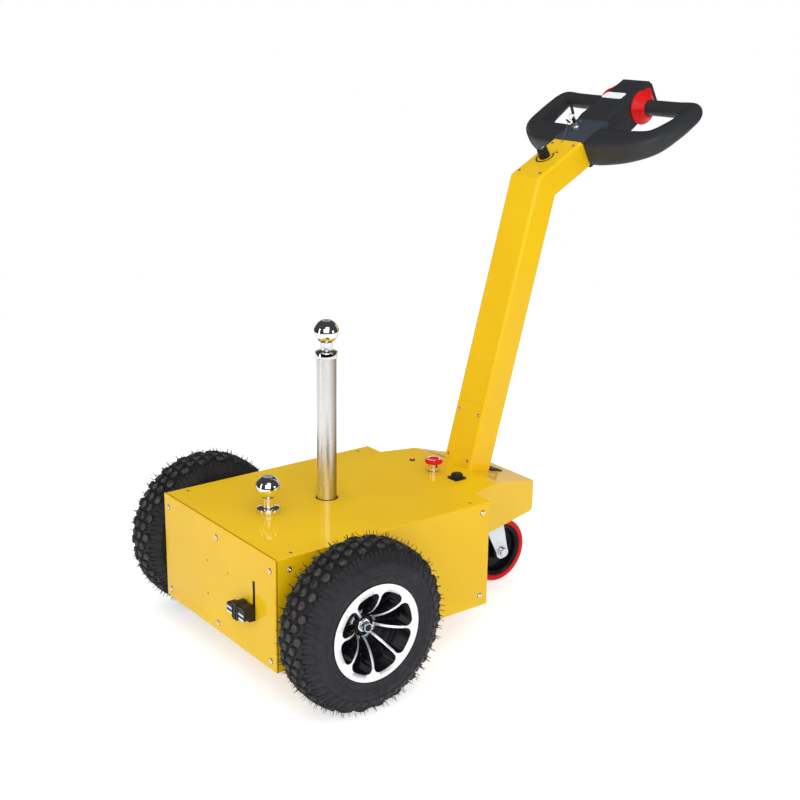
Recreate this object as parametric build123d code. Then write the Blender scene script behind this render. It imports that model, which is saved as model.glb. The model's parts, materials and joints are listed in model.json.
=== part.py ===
from build123d import *
import os
from math import atan2, cos, degrees, radians, sin, tan

os.makedirs("parts", exist_ok=True)

# Pedestrian tow tractor, in millimetres: X across, Y from the front plate to the handle, Z up from the
# ground. Pieces are built with Y counted from the front plate and moved by origin_y when they are saved.

# Body of folded sheet
ground_clearance = 75
body_width = 432
body_length = 525
body_height = 230
sheet = 3
front_thick = 4
bend_radius = 4
plate_edge = 1.5
front_return = 25
overrun = 400
near_by = 0.1
deck_top = ground_clearance + body_height
half_width = body_width / 2
panel_top = deck_top - sheet

# Tail box behind the body
tail_length = 227
tail_front_width = 330
tail_end_width = 206
tail_crease = 82
tail_slope = 14
tail_height = 107
tail_lower_bend = 10
tail_bottom = deck_top - tail_height
tail_end = body_length + tail_length
crease_y = body_length + tail_crease

# Drive wheels
axle_y = 141
wheel_radius = 170
wheel_gap = 28.5
tyre_width = 100
lug_height = 6
# Half the tyre's outline from bead to crown: across and outwards
carcass_shares = [(0.95, 0.05), (1, 0.4), (0.75, 0.87), (0.25, 1)]
tread_pitches = 24
row_shift_share = 0.5
block_width = 20
block_length = 20
block_root = 2
# A shoulder rib's side outline: along the shoulder and outwards, both in shares of its length
rib_shares = [(-0.5, -0.07), (0.5, -0.07), (0.5, 0.17), (-0.5, 0.01)]
rib_length = 30
rib_width = 11
wheel_x = half_width + wheel_gap + tyre_width / 2

# Rim
rim_radius = 97
rim_width = 99
ring_width = 15
rim_wall = 4
spoke_count = 8
spoke_width = 5
spoke_corner = 11
spoke_turn = 39
dish_thick = 6
dish_depth = 34
dish_steps = 2
dome_drop = 39
dome_drop_share = 0.3
dome_reach_share = 0.46
hub_radius = 22
hub_recess = 44
axle_radius = 10
fit_gap = 0.05
seat_gap = 0.1
running_gap = 5

# Axle end and its nut
stud_radius = 6
stud_reach = 18
washer_radius = 15
washer_thick = 2.5
nut_width = 19
nut_thick = 10

# Axle bearings, drive unit and battery
bearing_radius = 40
bearing_flange = 8
bearing_boss_radius = 22
bearing_cone = 4
bearing_gap = 11
drive_width = 150
drive_length = 142
drive_height = 120
drive_tube_radius = 24
shaft_inside = 60
battery_width = 330
battery_height = 190
battery_gap = 30
battery_back_gap = 9

# Tow balls and the post
ball_radius = 25.5
ball_flat = 23
neck_radius = 13
neck_low = 19
flange_radius = 23.5
flange_height = 11
ball_rise = 53
high_flange_radius = 22
low_ball_y = 121
stud_thread_radius = 9
stud_length = 34
stud_nut_width = 30
stud_nut_thick = 14
post_y = 263.5
post_radius = 20.5
post_wall = 8
post_hole_radius = 23.5
post_top_rise = 301
shank_length = 60
socket_radius = 30
socket_height = 70
socket_foot_radius = 45
socket_foot_thick = 8

# Release lever in the front plate
slot_x = 139
slot_width = 6
slot_low = 155
slot_high = 237
lever_thick = 5
lever_height = 16
lever_inside = 40
pad_past = 5
pad_width = 66
pad_rise = 3
pad_height = 22
pad_depth = 18
pad_reach = 26
pad_plate_gap = 2
pad_body_width = 32
pad_body_rise = 5
pad_body_height = 27
pad_boss_width = 22
pad_boss_drop = 3
pad_boss_height = 38
pad_boss_proud = 2
pad_lobe = 8
pad_round = 5
pad_edge = 1.5
hole_pitch_x = 80
hole_pitch_z = 73
hole_centre_z = 180
hole_radius = 2.5

# Controls on the deck
stop_x = 8
stop_back = 16
stop_head_radius = 20
stop_head_height = 11
stop_head_edge = 2.5
stop_collar_radius = 13
stop_collar_height = 20
stop_stem_radius = 11
stop_stem_depth = 20
lamp_x = -78
lamp_back = 24
lamp_bezel_radius = 6
lamp_bezel_height = 3
lamp_radius = 4.5
lamp_depth = 12
cap_x = 70
cap_back = 31
cap_flange = 31
cap_flange_height = 3
cap_radius = 13
cap_height = 12
cap_round = 4
gauge_x = 0
gauge_width = 76
gauge_length = 34
gauge_lip = 2.5
gauge_depth = 18
gauge_rim = 4
gauge_along = 95

# Tiller column
column_width = 92
column_depth = 62
column_wall = 3
column_edge = 7
column_back = 5
column_lean = 15.3
column_length = 652
upper_slope = 29
upper_length = 142
cover_width = 76
cover_margin = 4
cover_gap = 0.2
foot_cover_low = 9
foot_cover_high = 146

# Handle head, with its own frame: along the slope from the column's end, and up from its top face
spine_width = 92
spine_length = 242
spine_step = 86
spine_raise = 8
spine_depth = 64
spine_end_depth = 48
spine_edge = 7
cover_step = 12
loop_half_width = 219
loop_top = -3
loop_bar = 34
loop_bar_from = 100
loop_corner = 38
loop_hole_corner = 14
loop_round_share = 0.45
# Corners of the loop's outside and of its hand opening, in shares of its half width and of its length
loop_outer_shares = [(1.046, 0.244), (0.968, 1)]
loop_hole_shares = [(0.685, 0.356), (0.858, 0.546)]
loop_far_share = 0.84
grip_along = 188
thumb_radius = 39
thumb_bore_gap = 0.7
thumb_width = 22
thumb_rim = 12
thumb_nose = 22
thumb_flat = 31
label_width = 60
label_length = 23
label_thick = 0.6
label_x = -10
label_along = 175
key_x = -22
key_along = 54
key_radius = 11
key_height = 6
knob_along = 75
knob_x = -8
knob_radius = 13
knob_height = 22
knob_taper = 2

# Castor
castor_radius = 76
castor_width = 45
castor_tread_thick = 12
castor_in = 21
castor_trail = 40
castor_plate_width = 100
castor_plate_length = 92
castor_plate_thick = 5
race_radius = 37
race_height = 13
race_gap = 0.4
crown_thick = 6
king_radius = 9
king_head_radius = 15
king_head_height = 6
fork_leg = 4
fork_side_gap = 5
fork_round = 17
fork_front_share = 0.8
fork_back_share = 0.9
hub_gap = 1
castor_axle_radius = 6
castor_nut_width = 19
castor_nut_thick = 9
castor_hub_radius = 20
castor_web = 8
castor_rim_depth = 9
castor_flat_share = 0.6

# The column's lean and upper slope, and the middle of the length, from the handle's end to the tyres' front
column_front_y = crease_y + column_back
slope_y = cos(radians(upper_slope))
slope_z = sin(radians(upper_slope))
lean_y = sin(radians(column_lean))
lean_z = cos(radians(column_lean))
column_end_y = column_front_y + column_length * lean_y + upper_length * slope_y
rear_reach = column_end_y + spine_length * slope_y + spine_end_depth * slope_z
front_reach = axle_y - wheel_radius
origin_y = (rear_reach + front_reach) / 2


def save(node, solid):
    """Moves a piece to the shared origin and writes it."""
    export_step(Pos(0, -origin_y, 0) * solid, f"parts/{node}.step")


def both_sides(name, solid):
    """Saves a piece of the seen side and its mirror image."""
    save(f"{name}_right", solid)
    save(f"{name}_left", mirror(solid, about=Plane.YZ))


def block(x0, x1, y0, y1, z0, z1):
    """A box between two corners."""
    return Pos((x0 + x1) / 2, (y0 + y1) / 2, (z0 + z1) / 2) * Box(x1 - x0, y1 - y0, z1 - z0)


def upright(x, y, z, radius, height):
    """A cylinder that stands on a point."""
    return Pos(x, y, z) * Cylinder(radius, height, align=(Align.CENTER, Align.CENTER, Align.MIN))


def crosswise(x0, x1, y, z, radius):
    """A cylinder along X between two places."""
    return Pos((x0 + x1) / 2, y, z) * Rot(0, 90, 0) * Cylinder(radius, x1 - x0)


def spun(outline):
    """A solid turned about X from an outline of (x, radius) pairs."""
    return revolve(Plane.XY * make_face(Polyline(*outline, close=True)), Axis.X)


def side_shape(outline, width):
    """A (y, z) outline carried across the width, centred."""
    return extrude(Plane.YZ * make_face(Polyline(*outline, close=True)), width / 2, both=True)


def tail_top(y):
    """Height of the deck plate's top face at a place along the tail."""
    return deck_top - max(y - crease_y, 0) * tan(radians(tail_slope))


def tail_plan(inset, start):
    """The tail's plan outline, drawn in by a wall."""
    front, back = tail_front_width / 2, tail_end_width / 2
    points = [(-front + inset, start), (-front + inset, body_length), (-back + inset, tail_end - inset),
              (back - inset, tail_end - inset), (front - inset, body_length), (front - inset, start)]
    return make_face(Polyline(*points, close=True))


def corners(solid, axis, low, high):
    """Edges along an axis whose middle lies in a box."""
    found = []
    for edge in solid.edges().filter_by(axis):
        at = edge.center()
        if all(a - near_by <= v <= b + near_by for v, a, b in zip(tuple(at), low, high)):
            found.append(edge)
    return found


# Where the deck's controls stand
stop_y = body_length + stop_back
lamp_y = body_length + lamp_back
cap_y = body_length + cap_back

# Deck plate: one sheet over the body and the tail, bent down at the crease
deck_band = [(front_thick, deck_top), (crease_y, deck_top), (tail_end, tail_top(tail_end)),
             (tail_end, tail_top(tail_end) - sheet), (crease_y, panel_top), (front_thick, panel_top)]
deck_plan = make_face(Polyline(
    (-half_width, front_thick), (-half_width, body_length), (-tail_front_width / 2, body_length),
    (-tail_end_width / 2, tail_end), (tail_end_width / 2, tail_end), (tail_front_width / 2, body_length),
    (half_width, body_length), (half_width, front_thick), close=True))
deck = side_shape(deck_band, body_width) & extrude(deck_plan, deck_top + overrun)
deck = fillet(corners(deck, Axis.Y, (-half_width, 0, deck_top), (half_width, body_length, deck_top))
              + corners(deck, Axis.X, (0, 0, deck_top), (0, front_thick, deck_top)), plate_edge)
deck -= upright(0, post_y, panel_top - overrun, post_hole_radius, overrun * 2)
deck -= upright(0, low_ball_y, panel_top - overrun, stud_thread_radius + seat_gap, overrun * 2)
deck -= upright(stop_x, stop_y, panel_top - overrun, stop_stem_radius + seat_gap, overrun * 2)
deck -= upright(lamp_x, lamp_y, panel_top - overrun, lamp_radius + seat_gap, overrun * 2)

# The gauge lies in the sloping stretch of the deck, so it has that stretch's own frame
slope_frame = Pos(gauge_x, crease_y, deck_top) * Rot(-tail_slope, 0, 0)
gauge_hole = slope_frame * Pos(0, gauge_along, 0) * Box(
    gauge_width - 2 * gauge_rim + 2 * seat_gap, gauge_length - 2 * gauge_rim + 2 * seat_gap, gauge_depth)
deck -= gauge_hole
save("deck_plate", deck)

# Side panels: a wall with a return at the front and one at the back that reaches in to the tail
panel = block(tail_front_width / 2, half_width, front_thick, body_length, ground_clearance, panel_top)
panel -= block(0, half_width - sheet, front_thick + sheet, body_length - sheet, 0, deck_top)
panel -= block(0, half_width - front_return, 0, body_length / 2, 0, deck_top)
panel = fillet(corners(panel, Axis.Z, (half_width, 0, 0), (half_width, body_length, deck_top)), bend_radius)
panel -= crosswise(0, half_width + overrun, axle_y, wheel_radius, axle_radius + running_gap)
both_sides("side_panel", panel)

# Front plate with its four fixing holes and the lever's slot
front = block(-half_width, half_width, 0, front_thick, ground_clearance, deck_top)
front = fillet(front.faces().sort_by(Axis.Y)[0].edges(), plate_edge)
front -= block(slot_x - slot_width / 2, slot_x + slot_width / 2, -sheet, 2 * sheet, slot_low, slot_high)
for side in (-1, 1):
    for level in (-1, 1):
        place = Pos(side * hole_pitch_x / 2, 0, hole_centre_z + level * hole_pitch_z / 2)
        front -= place * Rot(90, 0, 0) * Cylinder(hole_radius, 4 * front_thick)
save("front_plate", front)

# Belly pan between the side panels, with a wall up to the tail's floor
pan_floor = ground_clearance + sheet
pan_half = half_width - sheet
pan_back = body_length - sheet
pan = block(-pan_half, pan_half, front_thick + sheet, pan_back, ground_clearance, pan_floor)
pan += block(-pan_half, pan_half, pan_back - sheet, pan_back, ground_clearance, tail_bottom + sheet)
save("belly_pan", pan)

# Tail shell: an open tray with tapering walls, closed by the deck plate
tail = extrude(tail_plan(0, body_length - sheet), deck_top)
tail -= extrude(tail_plan(sheet, body_length - 3 * sheet), deck_top + sheet) & block(
    -overrun, overrun, 0, tail_end, tail_bottom + sheet, deck_top + sheet)
tail -= block(-overrun, overrun, 0, tail_end + overrun, -sheet, tail_bottom)
above = [(0, panel_top), (crease_y, panel_top), (tail_end + sheet, tail_top(tail_end + sheet) - sheet),
         (tail_end + sheet, deck_top + overrun), (0, deck_top + overrun)]
tail -= side_shape(above, 2 * overrun)
tail = fillet(corners(tail, Axis.X, (0, tail_end, tail_bottom), (0, tail_end, tail_bottom)), tail_lower_bend)
save("tail_shell", tail)

# Drive unit: one block for the motor and gears, with an axle tube to each side panel
drive = block(-drive_width / 2, drive_width / 2, axle_y - drive_length / 2, axle_y + drive_length / 2,
              wheel_radius - drive_height / 2, wheel_radius + drive_height / 2)
drive = fillet(drive.edges().filter_by(Axis.X), column_edge)
drive += crosswise(-pan_half, pan_half, axle_y, wheel_radius, drive_tube_radius)
shaft_start = pan_half - shaft_inside
drive_bore = crosswise(shaft_start - running_gap, half_width, axle_y, wheel_radius,
                       axle_radius + running_gap)
drive -= drive_bore
drive -= mirror(drive_bore, about=Plane.YZ)
save("drive_unit", drive)

# Battery block on the belly pan, behind the post's socket
battery_front = post_y + socket_foot_radius + battery_gap
battery_back = pan_back - sheet - battery_back_gap
battery = block(-battery_width / 2, battery_width / 2, battery_front, battery_back, pan_floor,
                pan_floor + battery_height)
save("battery_block", fillet(battery.edges().filter_by(Axis.Z), column_edge))

# Axle bearings, bolted to the outside of the side panels
flange_x = half_width + bearing_flange
bearing_end = wheel_x - rim_width / 2 - bearing_gap
bearing = spun([(half_width, axle_radius + fit_gap), (half_width, bearing_radius),
                (flange_x, bearing_radius), (flange_x, bearing_boss_radius + bearing_cone),
                (flange_x + bearing_cone, bearing_boss_radius), (bearing_end, bearing_boss_radius),
                (bearing_end, axle_radius + fit_gap)])
both_sides("axle_bearing", Pos(0, axle_y, wheel_radius) * bearing)

# Axle shafts: a journal through the bearing, then a stud that the nut closes
hub_face = wheel_x + rim_width / 2 - hub_recess
shaft = spun([(shaft_start, 0), (shaft_start, axle_radius),
              (hub_face - washer_thick, axle_radius), (hub_face - washer_thick, stud_radius),
              (hub_face + stud_reach, stud_radius), (hub_face + stud_reach, 0)])
both_sides("axle_shaft", Pos(0, axle_y, wheel_radius) * shaft)

nut = crosswise(hub_face, hub_face + washer_thick, 0, 0, washer_radius)
nut += Pos(hub_face + washer_thick, 0, 0) * Rot(0, 90, 0) * extrude(
    RegularPolygon(nut_width / 2, 6, major_radius=False), nut_thick)
nut -= crosswise(hub_face - washer_thick, hub_face + overrun, 0, 0, stud_radius + fit_gap)
both_sides("wheel_nut", Pos(0, axle_y, wheel_radius) * nut)

# Rim: a barrel with a stepped dish, and a domed face with eight spokes over it
rim_face = rim_width / 2
ring_inner = rim_radius - ring_width
dish_face = rim_face - dish_depth
barrel_inner = ring_inner
barrel_outer = barrel_inner + rim_wall
hub_front = rim_face - hub_recess
flange_thick = rim_wall
step_run = (barrel_inner - hub_radius) / (dish_steps + 1)
step_drop = (dish_face - hub_front + dish_thick) / (dish_steps + 1)
barrel = [(-rim_face, barrel_inner), (-rim_face, rim_radius), (-rim_face + flange_thick, rim_radius),
          (-rim_face + 2 * flange_thick, barrel_outer), (rim_face - 2 * flange_thick, barrel_outer),
          (rim_face - flange_thick, rim_radius), (rim_face, rim_radius), (rim_face, barrel_inner),
          (dish_face, barrel_inner)]
for step in range(1, dish_steps + 1):
    barrel += [(dish_face - (step - 1) * step_drop, barrel_inner - step * step_run),
               (dish_face - step * step_drop, barrel_inner - step * step_run)]
barrel += [(hub_front - dish_thick, hub_radius), (hub_front, hub_radius),
           (hub_front, axle_radius + seat_gap), (-rim_face + flange_thick, axle_radius + seat_gap),
           (-rim_face + flange_thick, hub_radius),
           (hub_front - 2 * dish_thick, hub_radius), (dish_face - dish_thick, barrel_inner)]
rim = spun(barrel)

ring = Circle(rim_radius - seat_gap) - Circle(ring_inner)
spokes = Sketch() + ring
spoke = Pos((ring_inner + hub_radius) / 2, 0) * Rectangle(ring_inner - hub_radius + ring_width, spoke_width)
for number in range(spoke_count):
    spokes += Rot(0, 0, spoke_turn + number * 360 / spoke_count) * spoke
spokes -= Circle(hub_radius - seat_gap)
window_corners = [v for v in spokes.vertices() if abs((v.X ** 2 + v.Y ** 2) ** 0.5 - ring_inner) < near_by]
spokes = fillet(window_corners, spoke_corner)
dome_middle = (rim_face - dome_drop * dome_drop_share, (ring_inner + hub_radius) * dome_reach_share)
dome_line = ThreePointArc((rim_face, ring_inner), dome_middle, (hub_front, hub_radius))
dome_rest = Polyline((hub_front, hub_radius), (hub_front - dish_thick, hub_radius - seat_gap),
                     (hub_front - dish_thick, rim_radius), (rim_face, rim_radius), (rim_face, ring_inner))
dome = revolve(Plane.XY * make_face([dome_line] + list(dome_rest.edges())), Axis.X)
web = extrude(Plane.YZ * spokes, 2 * rim_face, both=True) & dome
rim += web
rim -= crosswise(-overrun, overrun, 0, 0, axle_radius + seat_gap)
rim -= crosswise(hub_front, overrun, 0, 0, hub_radius - sheet)
both_sides("rim", Pos(wheel_x, axle_y, wheel_radius) * rim)

# Tyre: a round-shouldered carcass of flat facets, two to a pitch, so that every block and rib sits on one
half_tyre = tyre_width / 2
bead_radius = rim_radius + seat_gap
carcass_radius = wheel_radius - lug_height
tyre_depth = carcass_radius - bead_radius
pitch = 360 / tread_pitches
half_facet = pitch / 4
half_outline = [(x * half_tyre, bead_radius + r * tyre_depth) for x, r in carcass_shares]
outline = [(-x, r) for x, r in half_outline] + half_outline[::-1]


def facet_ring(x, radius):
    """The corners of one ring of the carcass, given the distance of its flats from the axle."""
    turns = [radians((2 * number + 1) * half_facet) for number in range(2 * tread_pitches)]
    reach = radius / cos(radians(half_facet))
    return [(x, -reach * sin(turn), reach * cos(turn)) for turn in turns]


def facet_body(outline):
    """A closed solid of flat faces through the rings of an outline."""
    rings = [facet_ring(x, radius) for x, radius in outline]
    faces = [Face(Wire.make_polygon(rings[0])), Face(Wire.make_polygon(rings[-1]))]
    for low, high in zip(rings, rings[1:]):
        for number, corner in enumerate(low):
            before = number - 1
            faces.append(Face(Wire.make_polygon([low[before], corner, high[number], high[before]])))
    return Solid(Shell(faces))


def on_band(outer, inner, side, shape):
    """Lays a shape on the middle of the band between two points of the outline."""
    (outer_x, outer_radius), (inner_x, inner_radius) = outer, inner
    tilt = degrees(atan2(outer_radius - inner_radius, inner_x - outer_x))
    middle = Pos(side * (outer_x + inner_x) / 2, 0, (outer_radius + inner_radius) / 2)
    return middle * Rot(0, side * tilt, 0) * shape


tyre = facet_body(outline) - crosswise(-overrun, overrun, 0, 0, bead_radius)
bead_end, wall_top, shoulder, crown = half_outline
rib_outline = [(x * rib_length, r * rib_length) for x, r in rib_shares]
tread_block = Pos(0, 0, -block_root) * Box(block_width, block_length, lug_height + block_root,
                                           align=(Align.CENTER, Align.CENTER, Align.MIN))
middle_block = Pos(0, 0, carcass_radius) * tread_block
lugs = [Rot(number * pitch, 0, 0) * middle_block for number in range(tread_pitches)]
for side in (-1, 1):
    rib = extrude(Plane.XZ * make_face(Polyline(*[(-side * x, r) for x, r in rib_outline], close=True)),
                  rib_width / 2, both=True)
    row = on_band(crown, shoulder, side, tread_block)
    ribs = on_band(shoulder, wall_top, side, rib)
    lugs += [Rot((number + row_shift_share) * pitch, 0, 0) * row for number in range(tread_pitches)]
    lugs += [Rot(number * pitch, 0, 0) * ribs for number in range(tread_pitches)]
tyre += lugs
both_sides("tyre", Pos(wheel_x, axle_y, wheel_radius) * tyre)

# Tow balls: a flat-topped ball on a neck and a flange, turned in one piece with its stud
def tow_ball(flange, stud, length):
    """A ball that stands on a flange, with its stud below."""
    sphere = Pos(0, 0, ball_rise) * Sphere(ball_radius)
    sphere -= upright(0, 0, ball_rise + ball_flat, ball_radius, overrun)
    neck = [(0, ball_rise), (neck_radius, ball_rise - ball_radius / 2), (neck_radius, neck_low),
            (flange, flange_height), (flange, 0), (stud, 0), (stud, -length), (0, -length)]
    return sphere + revolve(Plane.XZ * make_face(Polyline(*neck, close=True)), Axis.Z)


low_ball = Pos(0, low_ball_y, deck_top) * tow_ball(flange_radius, stud_thread_radius, stud_length)
low_ball += Pos(0, low_ball_y, panel_top - stud_nut_thick) * extrude(
    RegularPolygon(stud_nut_width / 2, 6, major_radius=False), stud_nut_thick)
save("tow_ball_low", low_ball)

post_bore = post_radius - post_wall
post_top = deck_top + post_top_rise
post = upright(0, post_y, pan_floor, post_radius, post_top - pan_floor)
post -= upright(0, post_y, post_top - shank_length - sheet, post_bore, overrun)
save("tow_post", post)
high_ball = tow_ball(high_flange_radius, post_bore - seat_gap, shank_length)
save("tow_ball_high", Pos(0, post_y, post_top) * high_ball)

socket = upright(0, post_y, pan_floor, socket_foot_radius, socket_foot_thick)
socket += upright(0, post_y, pan_floor, socket_radius, socket_height)
socket -= upright(0, post_y, 0, post_radius + seat_gap, overrun)
save("post_socket", socket)

# Release lever: an arm through the front plate's slot, and a pad with a body, a wing and a raised middle
lever_low = slot_low + seat_gap
arm = block(slot_x - lever_thick / 2, slot_x + lever_thick / 2, -pad_reach / 2, lever_inside, lever_low,
            lever_low + lever_height)
pad_right = slot_x + pad_past
pad_left = pad_right - pad_width
boss_x = (pad_left + pad_right) / 2


def pad_block(x0, x1, front, back, low, height, corner):
    """One block of the pad, with its upright outline rounded and its front edge broken."""
    shape = block(x0, x1, -front, -back, slot_low + low, slot_low + low + height)
    shape = fillet(shape.edges().filter_by(Axis.Y), corner)
    return chamfer(shape.faces().sort_by(Axis.Y)[0].edges(), pad_edge)


pad = pad_block(pad_right - pad_body_width, pad_right, pad_reach, pad_plate_gap, pad_body_rise,
                pad_body_height, pad_round)
pad += pad_block(pad_left, pad_right - pad_edge, pad_reach, pad_reach - pad_depth, pad_rise, pad_height,
                 pad_round)
pad += pad_block(boss_x - pad_boss_width / 2, boss_x + pad_boss_width / 2, pad_reach + pad_boss_proud,
                 2 * pad_plate_gap, -pad_boss_drop, pad_boss_height, pad_lobe)
save("release_lever", arm + pad)

# Mushroom stop on its collar, lamp and socket cap on the deck
collar = upright(stop_x, stop_y, deck_top, stop_collar_radius, sheet)
collar += upright(stop_x, stop_y, deck_top, stop_stem_radius, stop_collar_height)
collar += upright(stop_x, stop_y, deck_top - stop_stem_depth, stop_stem_radius, stop_stem_depth)
save("stop_collar", collar)
button = upright(stop_x, stop_y, deck_top + stop_collar_height, stop_head_radius, stop_head_height)
button = fillet(button.edges().filter_by(GeomType.CIRCLE).sort_by(Axis.Z)[-1:], stop_head_height / 2)
button = chamfer(button.edges().filter_by(GeomType.CIRCLE).sort_by(Axis.Z)[:1], stop_head_edge)
save("stop_button", button)
lamp = upright(lamp_x, lamp_y, deck_top, lamp_bezel_radius, lamp_bezel_height)
lamp += Pos(lamp_x, lamp_y, deck_top + lamp_bezel_height) * Sphere(lamp_radius, 0, 90)
lamp += upright(lamp_x, lamp_y, deck_top - lamp_depth, lamp_radius, lamp_depth)
save("warning_lamp", lamp)
cap = Pos(cap_x, cap_y, deck_top + cap_flange_height / 2) * Box(cap_flange, cap_flange, cap_flange_height)
cap = fillet(cap.edges().filter_by(Axis.Z), cap_round)
cap_dome = upright(cap_x, cap_y, deck_top + cap_flange_height, cap_radius, cap_height - cap_flange_height)
cap += fillet(cap_dome.edges().filter_by(GeomType.CIRCLE).sort_by(Axis.Z)[-1:], cap_round)
save("socket_cap", cap)

# Battery gauge in its cut-out on the sloping deck
window_width, window_length = gauge_width - 2 * gauge_rim, gauge_length - 2 * gauge_rim
gauge = Pos(0, 0, gauge_lip / 2) * Box(gauge_width, gauge_length, gauge_lip)
gauge += Pos(0, 0, -gauge_depth / 2) * Box(window_width, window_length, gauge_depth)
gauge -= Pos(0, 0, gauge_lip) * Box(window_width, window_length, gauge_lip)
save("battery_gauge", slope_frame * Pos(0, gauge_along, 0) * gauge)

# Tiller column: a bent box tube that stands on the deck and is open at its upper end
def column_line(depth, low, end):
    """The column's outline at a depth behind its front face, from below the deck to its upper end."""
    fold = depth / (1 + lean_z * slope_z + lean_y * slope_y)
    return [(column_front_y - low * lean_y + depth * lean_z, column_foot_z - low * lean_z - depth * lean_y),
            (kink_y + fold * (lean_z + slope_z), kink_z - fold * (lean_y + slope_y)),
            (kink_y + (upper_length + end) * slope_y + depth * slope_z,
             kink_z + (upper_length + end) * slope_z - depth * slope_y)]


column_foot_z = tail_top(column_front_y)
kink_y = column_front_y + column_length * lean_y
kink_z = column_foot_z + column_length * lean_z
outer = column_line(0, column_depth, 0) + column_line(column_depth, column_depth, 0)[::-1]
inner = (column_line(column_wall, 2 * column_depth, column_wall)
         + column_line(column_depth - column_wall, 2 * column_depth, column_wall)[::-1])
column = side_shape(outer, column_width)
long_edges = [e for e in column.edges()
              if abs(abs(e.center().X) - column_width / 2) < near_by and e.length > 3 / 2 * column_depth]
column = fillet(long_edges, column_edge)
column -= side_shape(inner, column_width - 2 * column_wall)
below = [(0, deck_top), (crease_y, deck_top), (tail_end + overrun, tail_top(tail_end + overrun)),
         (tail_end + overrun, -overrun), (0, -overrun)]
column -= side_shape(below, 2 * overrun)

# Cover plates let into the column's front face and its upper face
foot_frame = Plane((0, column_front_y, column_foot_z), x_dir=(1, 0, 0), z_dir=(0, -lean_z, lean_y)).location
kink_frame = Plane((0, kink_y, kink_z), x_dir=(1, 0, 0), z_dir=(0, -slope_z, slope_y)).location


def cover(frame, low, high, margin):
    """A plate that fills an opening in the column's wall, or that opening when a margin is added."""
    plate = Box(cover_width + 2 * margin, high - low + 2 * margin, column_wall)
    plate = fillet(plate.edges().filter_by(Axis.Z), cover_margin)
    return frame * Pos(0, (low + high) / 2, -column_wall / 2) * plate


covers = [("tiller_foot_cover", foot_frame, foot_cover_low, foot_cover_high),
          ("tiller_top_cover", kink_frame, cover_margin, upper_length - cover_margin)]
for node, frame, low, high in covers:
    column -= cover(frame, low, high, cover_gap)
    save(node, cover(frame, low, high, 0))
save("tiller_column", column)

# Speed knob on the upper cover
knob = Pos(knob_x, knob_along, 0) * Cone(knob_radius, knob_radius - knob_taper, knob_height,
                                         align=(Align.CENTER, Align.CENTER, Align.MIN))
save("speed_knob", kink_frame * fillet(knob.edges().filter_by(GeomType.CIRCLE)[-1:], plate_edge))

# Head: everything is drawn along the slope from the column's end, and placed by this frame
head_frame = Plane((0, column_end_y, kink_z + upper_length * slope_z), x_dir=(1, 0, 0),
                   z_dir=(0, -slope_z, slope_y)).location
near = spine_width / 2
spine_outline = [(0, -cover_step), (spine_step, -cover_step), (spine_step, 0),
                 (spine_step + spine_raise, spine_raise), (spine_length, spine_raise),
                 (spine_length, -spine_end_depth), (spine_step, -spine_depth), (0, -spine_depth)]
spine = side_shape(spine_outline, spine_width)
spine_tops = corners(spine, Axis.Y, (-near, 0, spine_raise), (near, spine_length, spine_raise))
spine = chamfer(spine_tops, spine_edge)
save("head_spine", head_frame * spine)
head_cover = side_shape([(0, -cover_step), (0, 0), (spine_step, 0), (spine_step, -cover_step)], spine_width)
save("head_cover", head_frame * head_cover)

# Handle loop: plan outline with its hand opening, cut to its depth from the side and rounded into a bar
loop_length = grip_along + loop_bar / 2
loop_low = loop_top - loop_bar
loop_round = loop_bar * loop_round_share
outer_corners = [(x * loop_half_width, s * loop_length) for x, s in loop_outer_shares]
outer_line = FilletPolyline((near, 0), *outer_corners, (near, loop_length), radius=loop_corner)
hole_corners = [(x * loop_half_width, s * loop_length) for x, s in loop_hole_shares]
hole_near, hole_far = hole_corners[0][1], loop_length - loop_bar
hole_line = FilletPolyline((near, hole_near), *hole_corners, (loop_far_share * loop_half_width, hole_far),
                           (near, hole_far), radius=loop_hole_corner)
plan = make_face([outer_line, Line((near, loop_length), (near, 0))])
plan -= make_face([hole_line, Line((near, hole_far), (near, hole_near))])
loop_side = [(-loop_bar_from, loop_top), (overrun, loop_top), (overrun, loop_low), (loop_bar_from, loop_low),
             (0, -spine_depth), (-loop_bar_from, -2 * spine_depth - loop_low)]
loop = extrude(plan, overrun, both=True) & side_shape(loop_side, 2 * overrun)
beyond = near + near_by
loop = fillet([e for e in loop.edges() if e.center().Z > loop_top - near_by and e.center().X > beyond],
              loop_round)
loop = fillet([e for e in loop.edges() if e.center().Z < loop_low + near_by and e.center().X > beyond
               and abs(e.center().Y - loop_bar_from) > near_by], loop_round)
both_sides("handle_loop", head_frame * loop)

# Thumb wheels around the grips, beside the spine: cone-faced discs with two flats
thumb_bore = loop_bar / 2 + thumb_bore_gap
thumb_x = near + seat_gap
thumb = spun([(thumb_x, thumb_bore), (thumb_x, thumb_radius), (thumb_x + thumb_rim, thumb_radius),
              (thumb_x + thumb_width, thumb_nose), (thumb_x + thumb_width, thumb_bore)])
thumb &= block(0, overrun, -thumb_flat, thumb_flat, -overrun, overrun)
both_sides("thumb_wheel", head_frame * Pos(0, grip_along, (loop_top + loop_low) / 2) * thumb)

# Blank label and key switch
label = Box(label_width, label_length, label_thick)
label = fillet(label.edges().filter_by(Axis.Z), cover_margin)
save("label_plate", head_frame * Pos(label_x, label_along, spine_raise + label_thick / 2) * label)
lock = upright(key_x, key_along, 0, key_radius, key_height)
save("key_switch", head_frame * lock)

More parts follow.
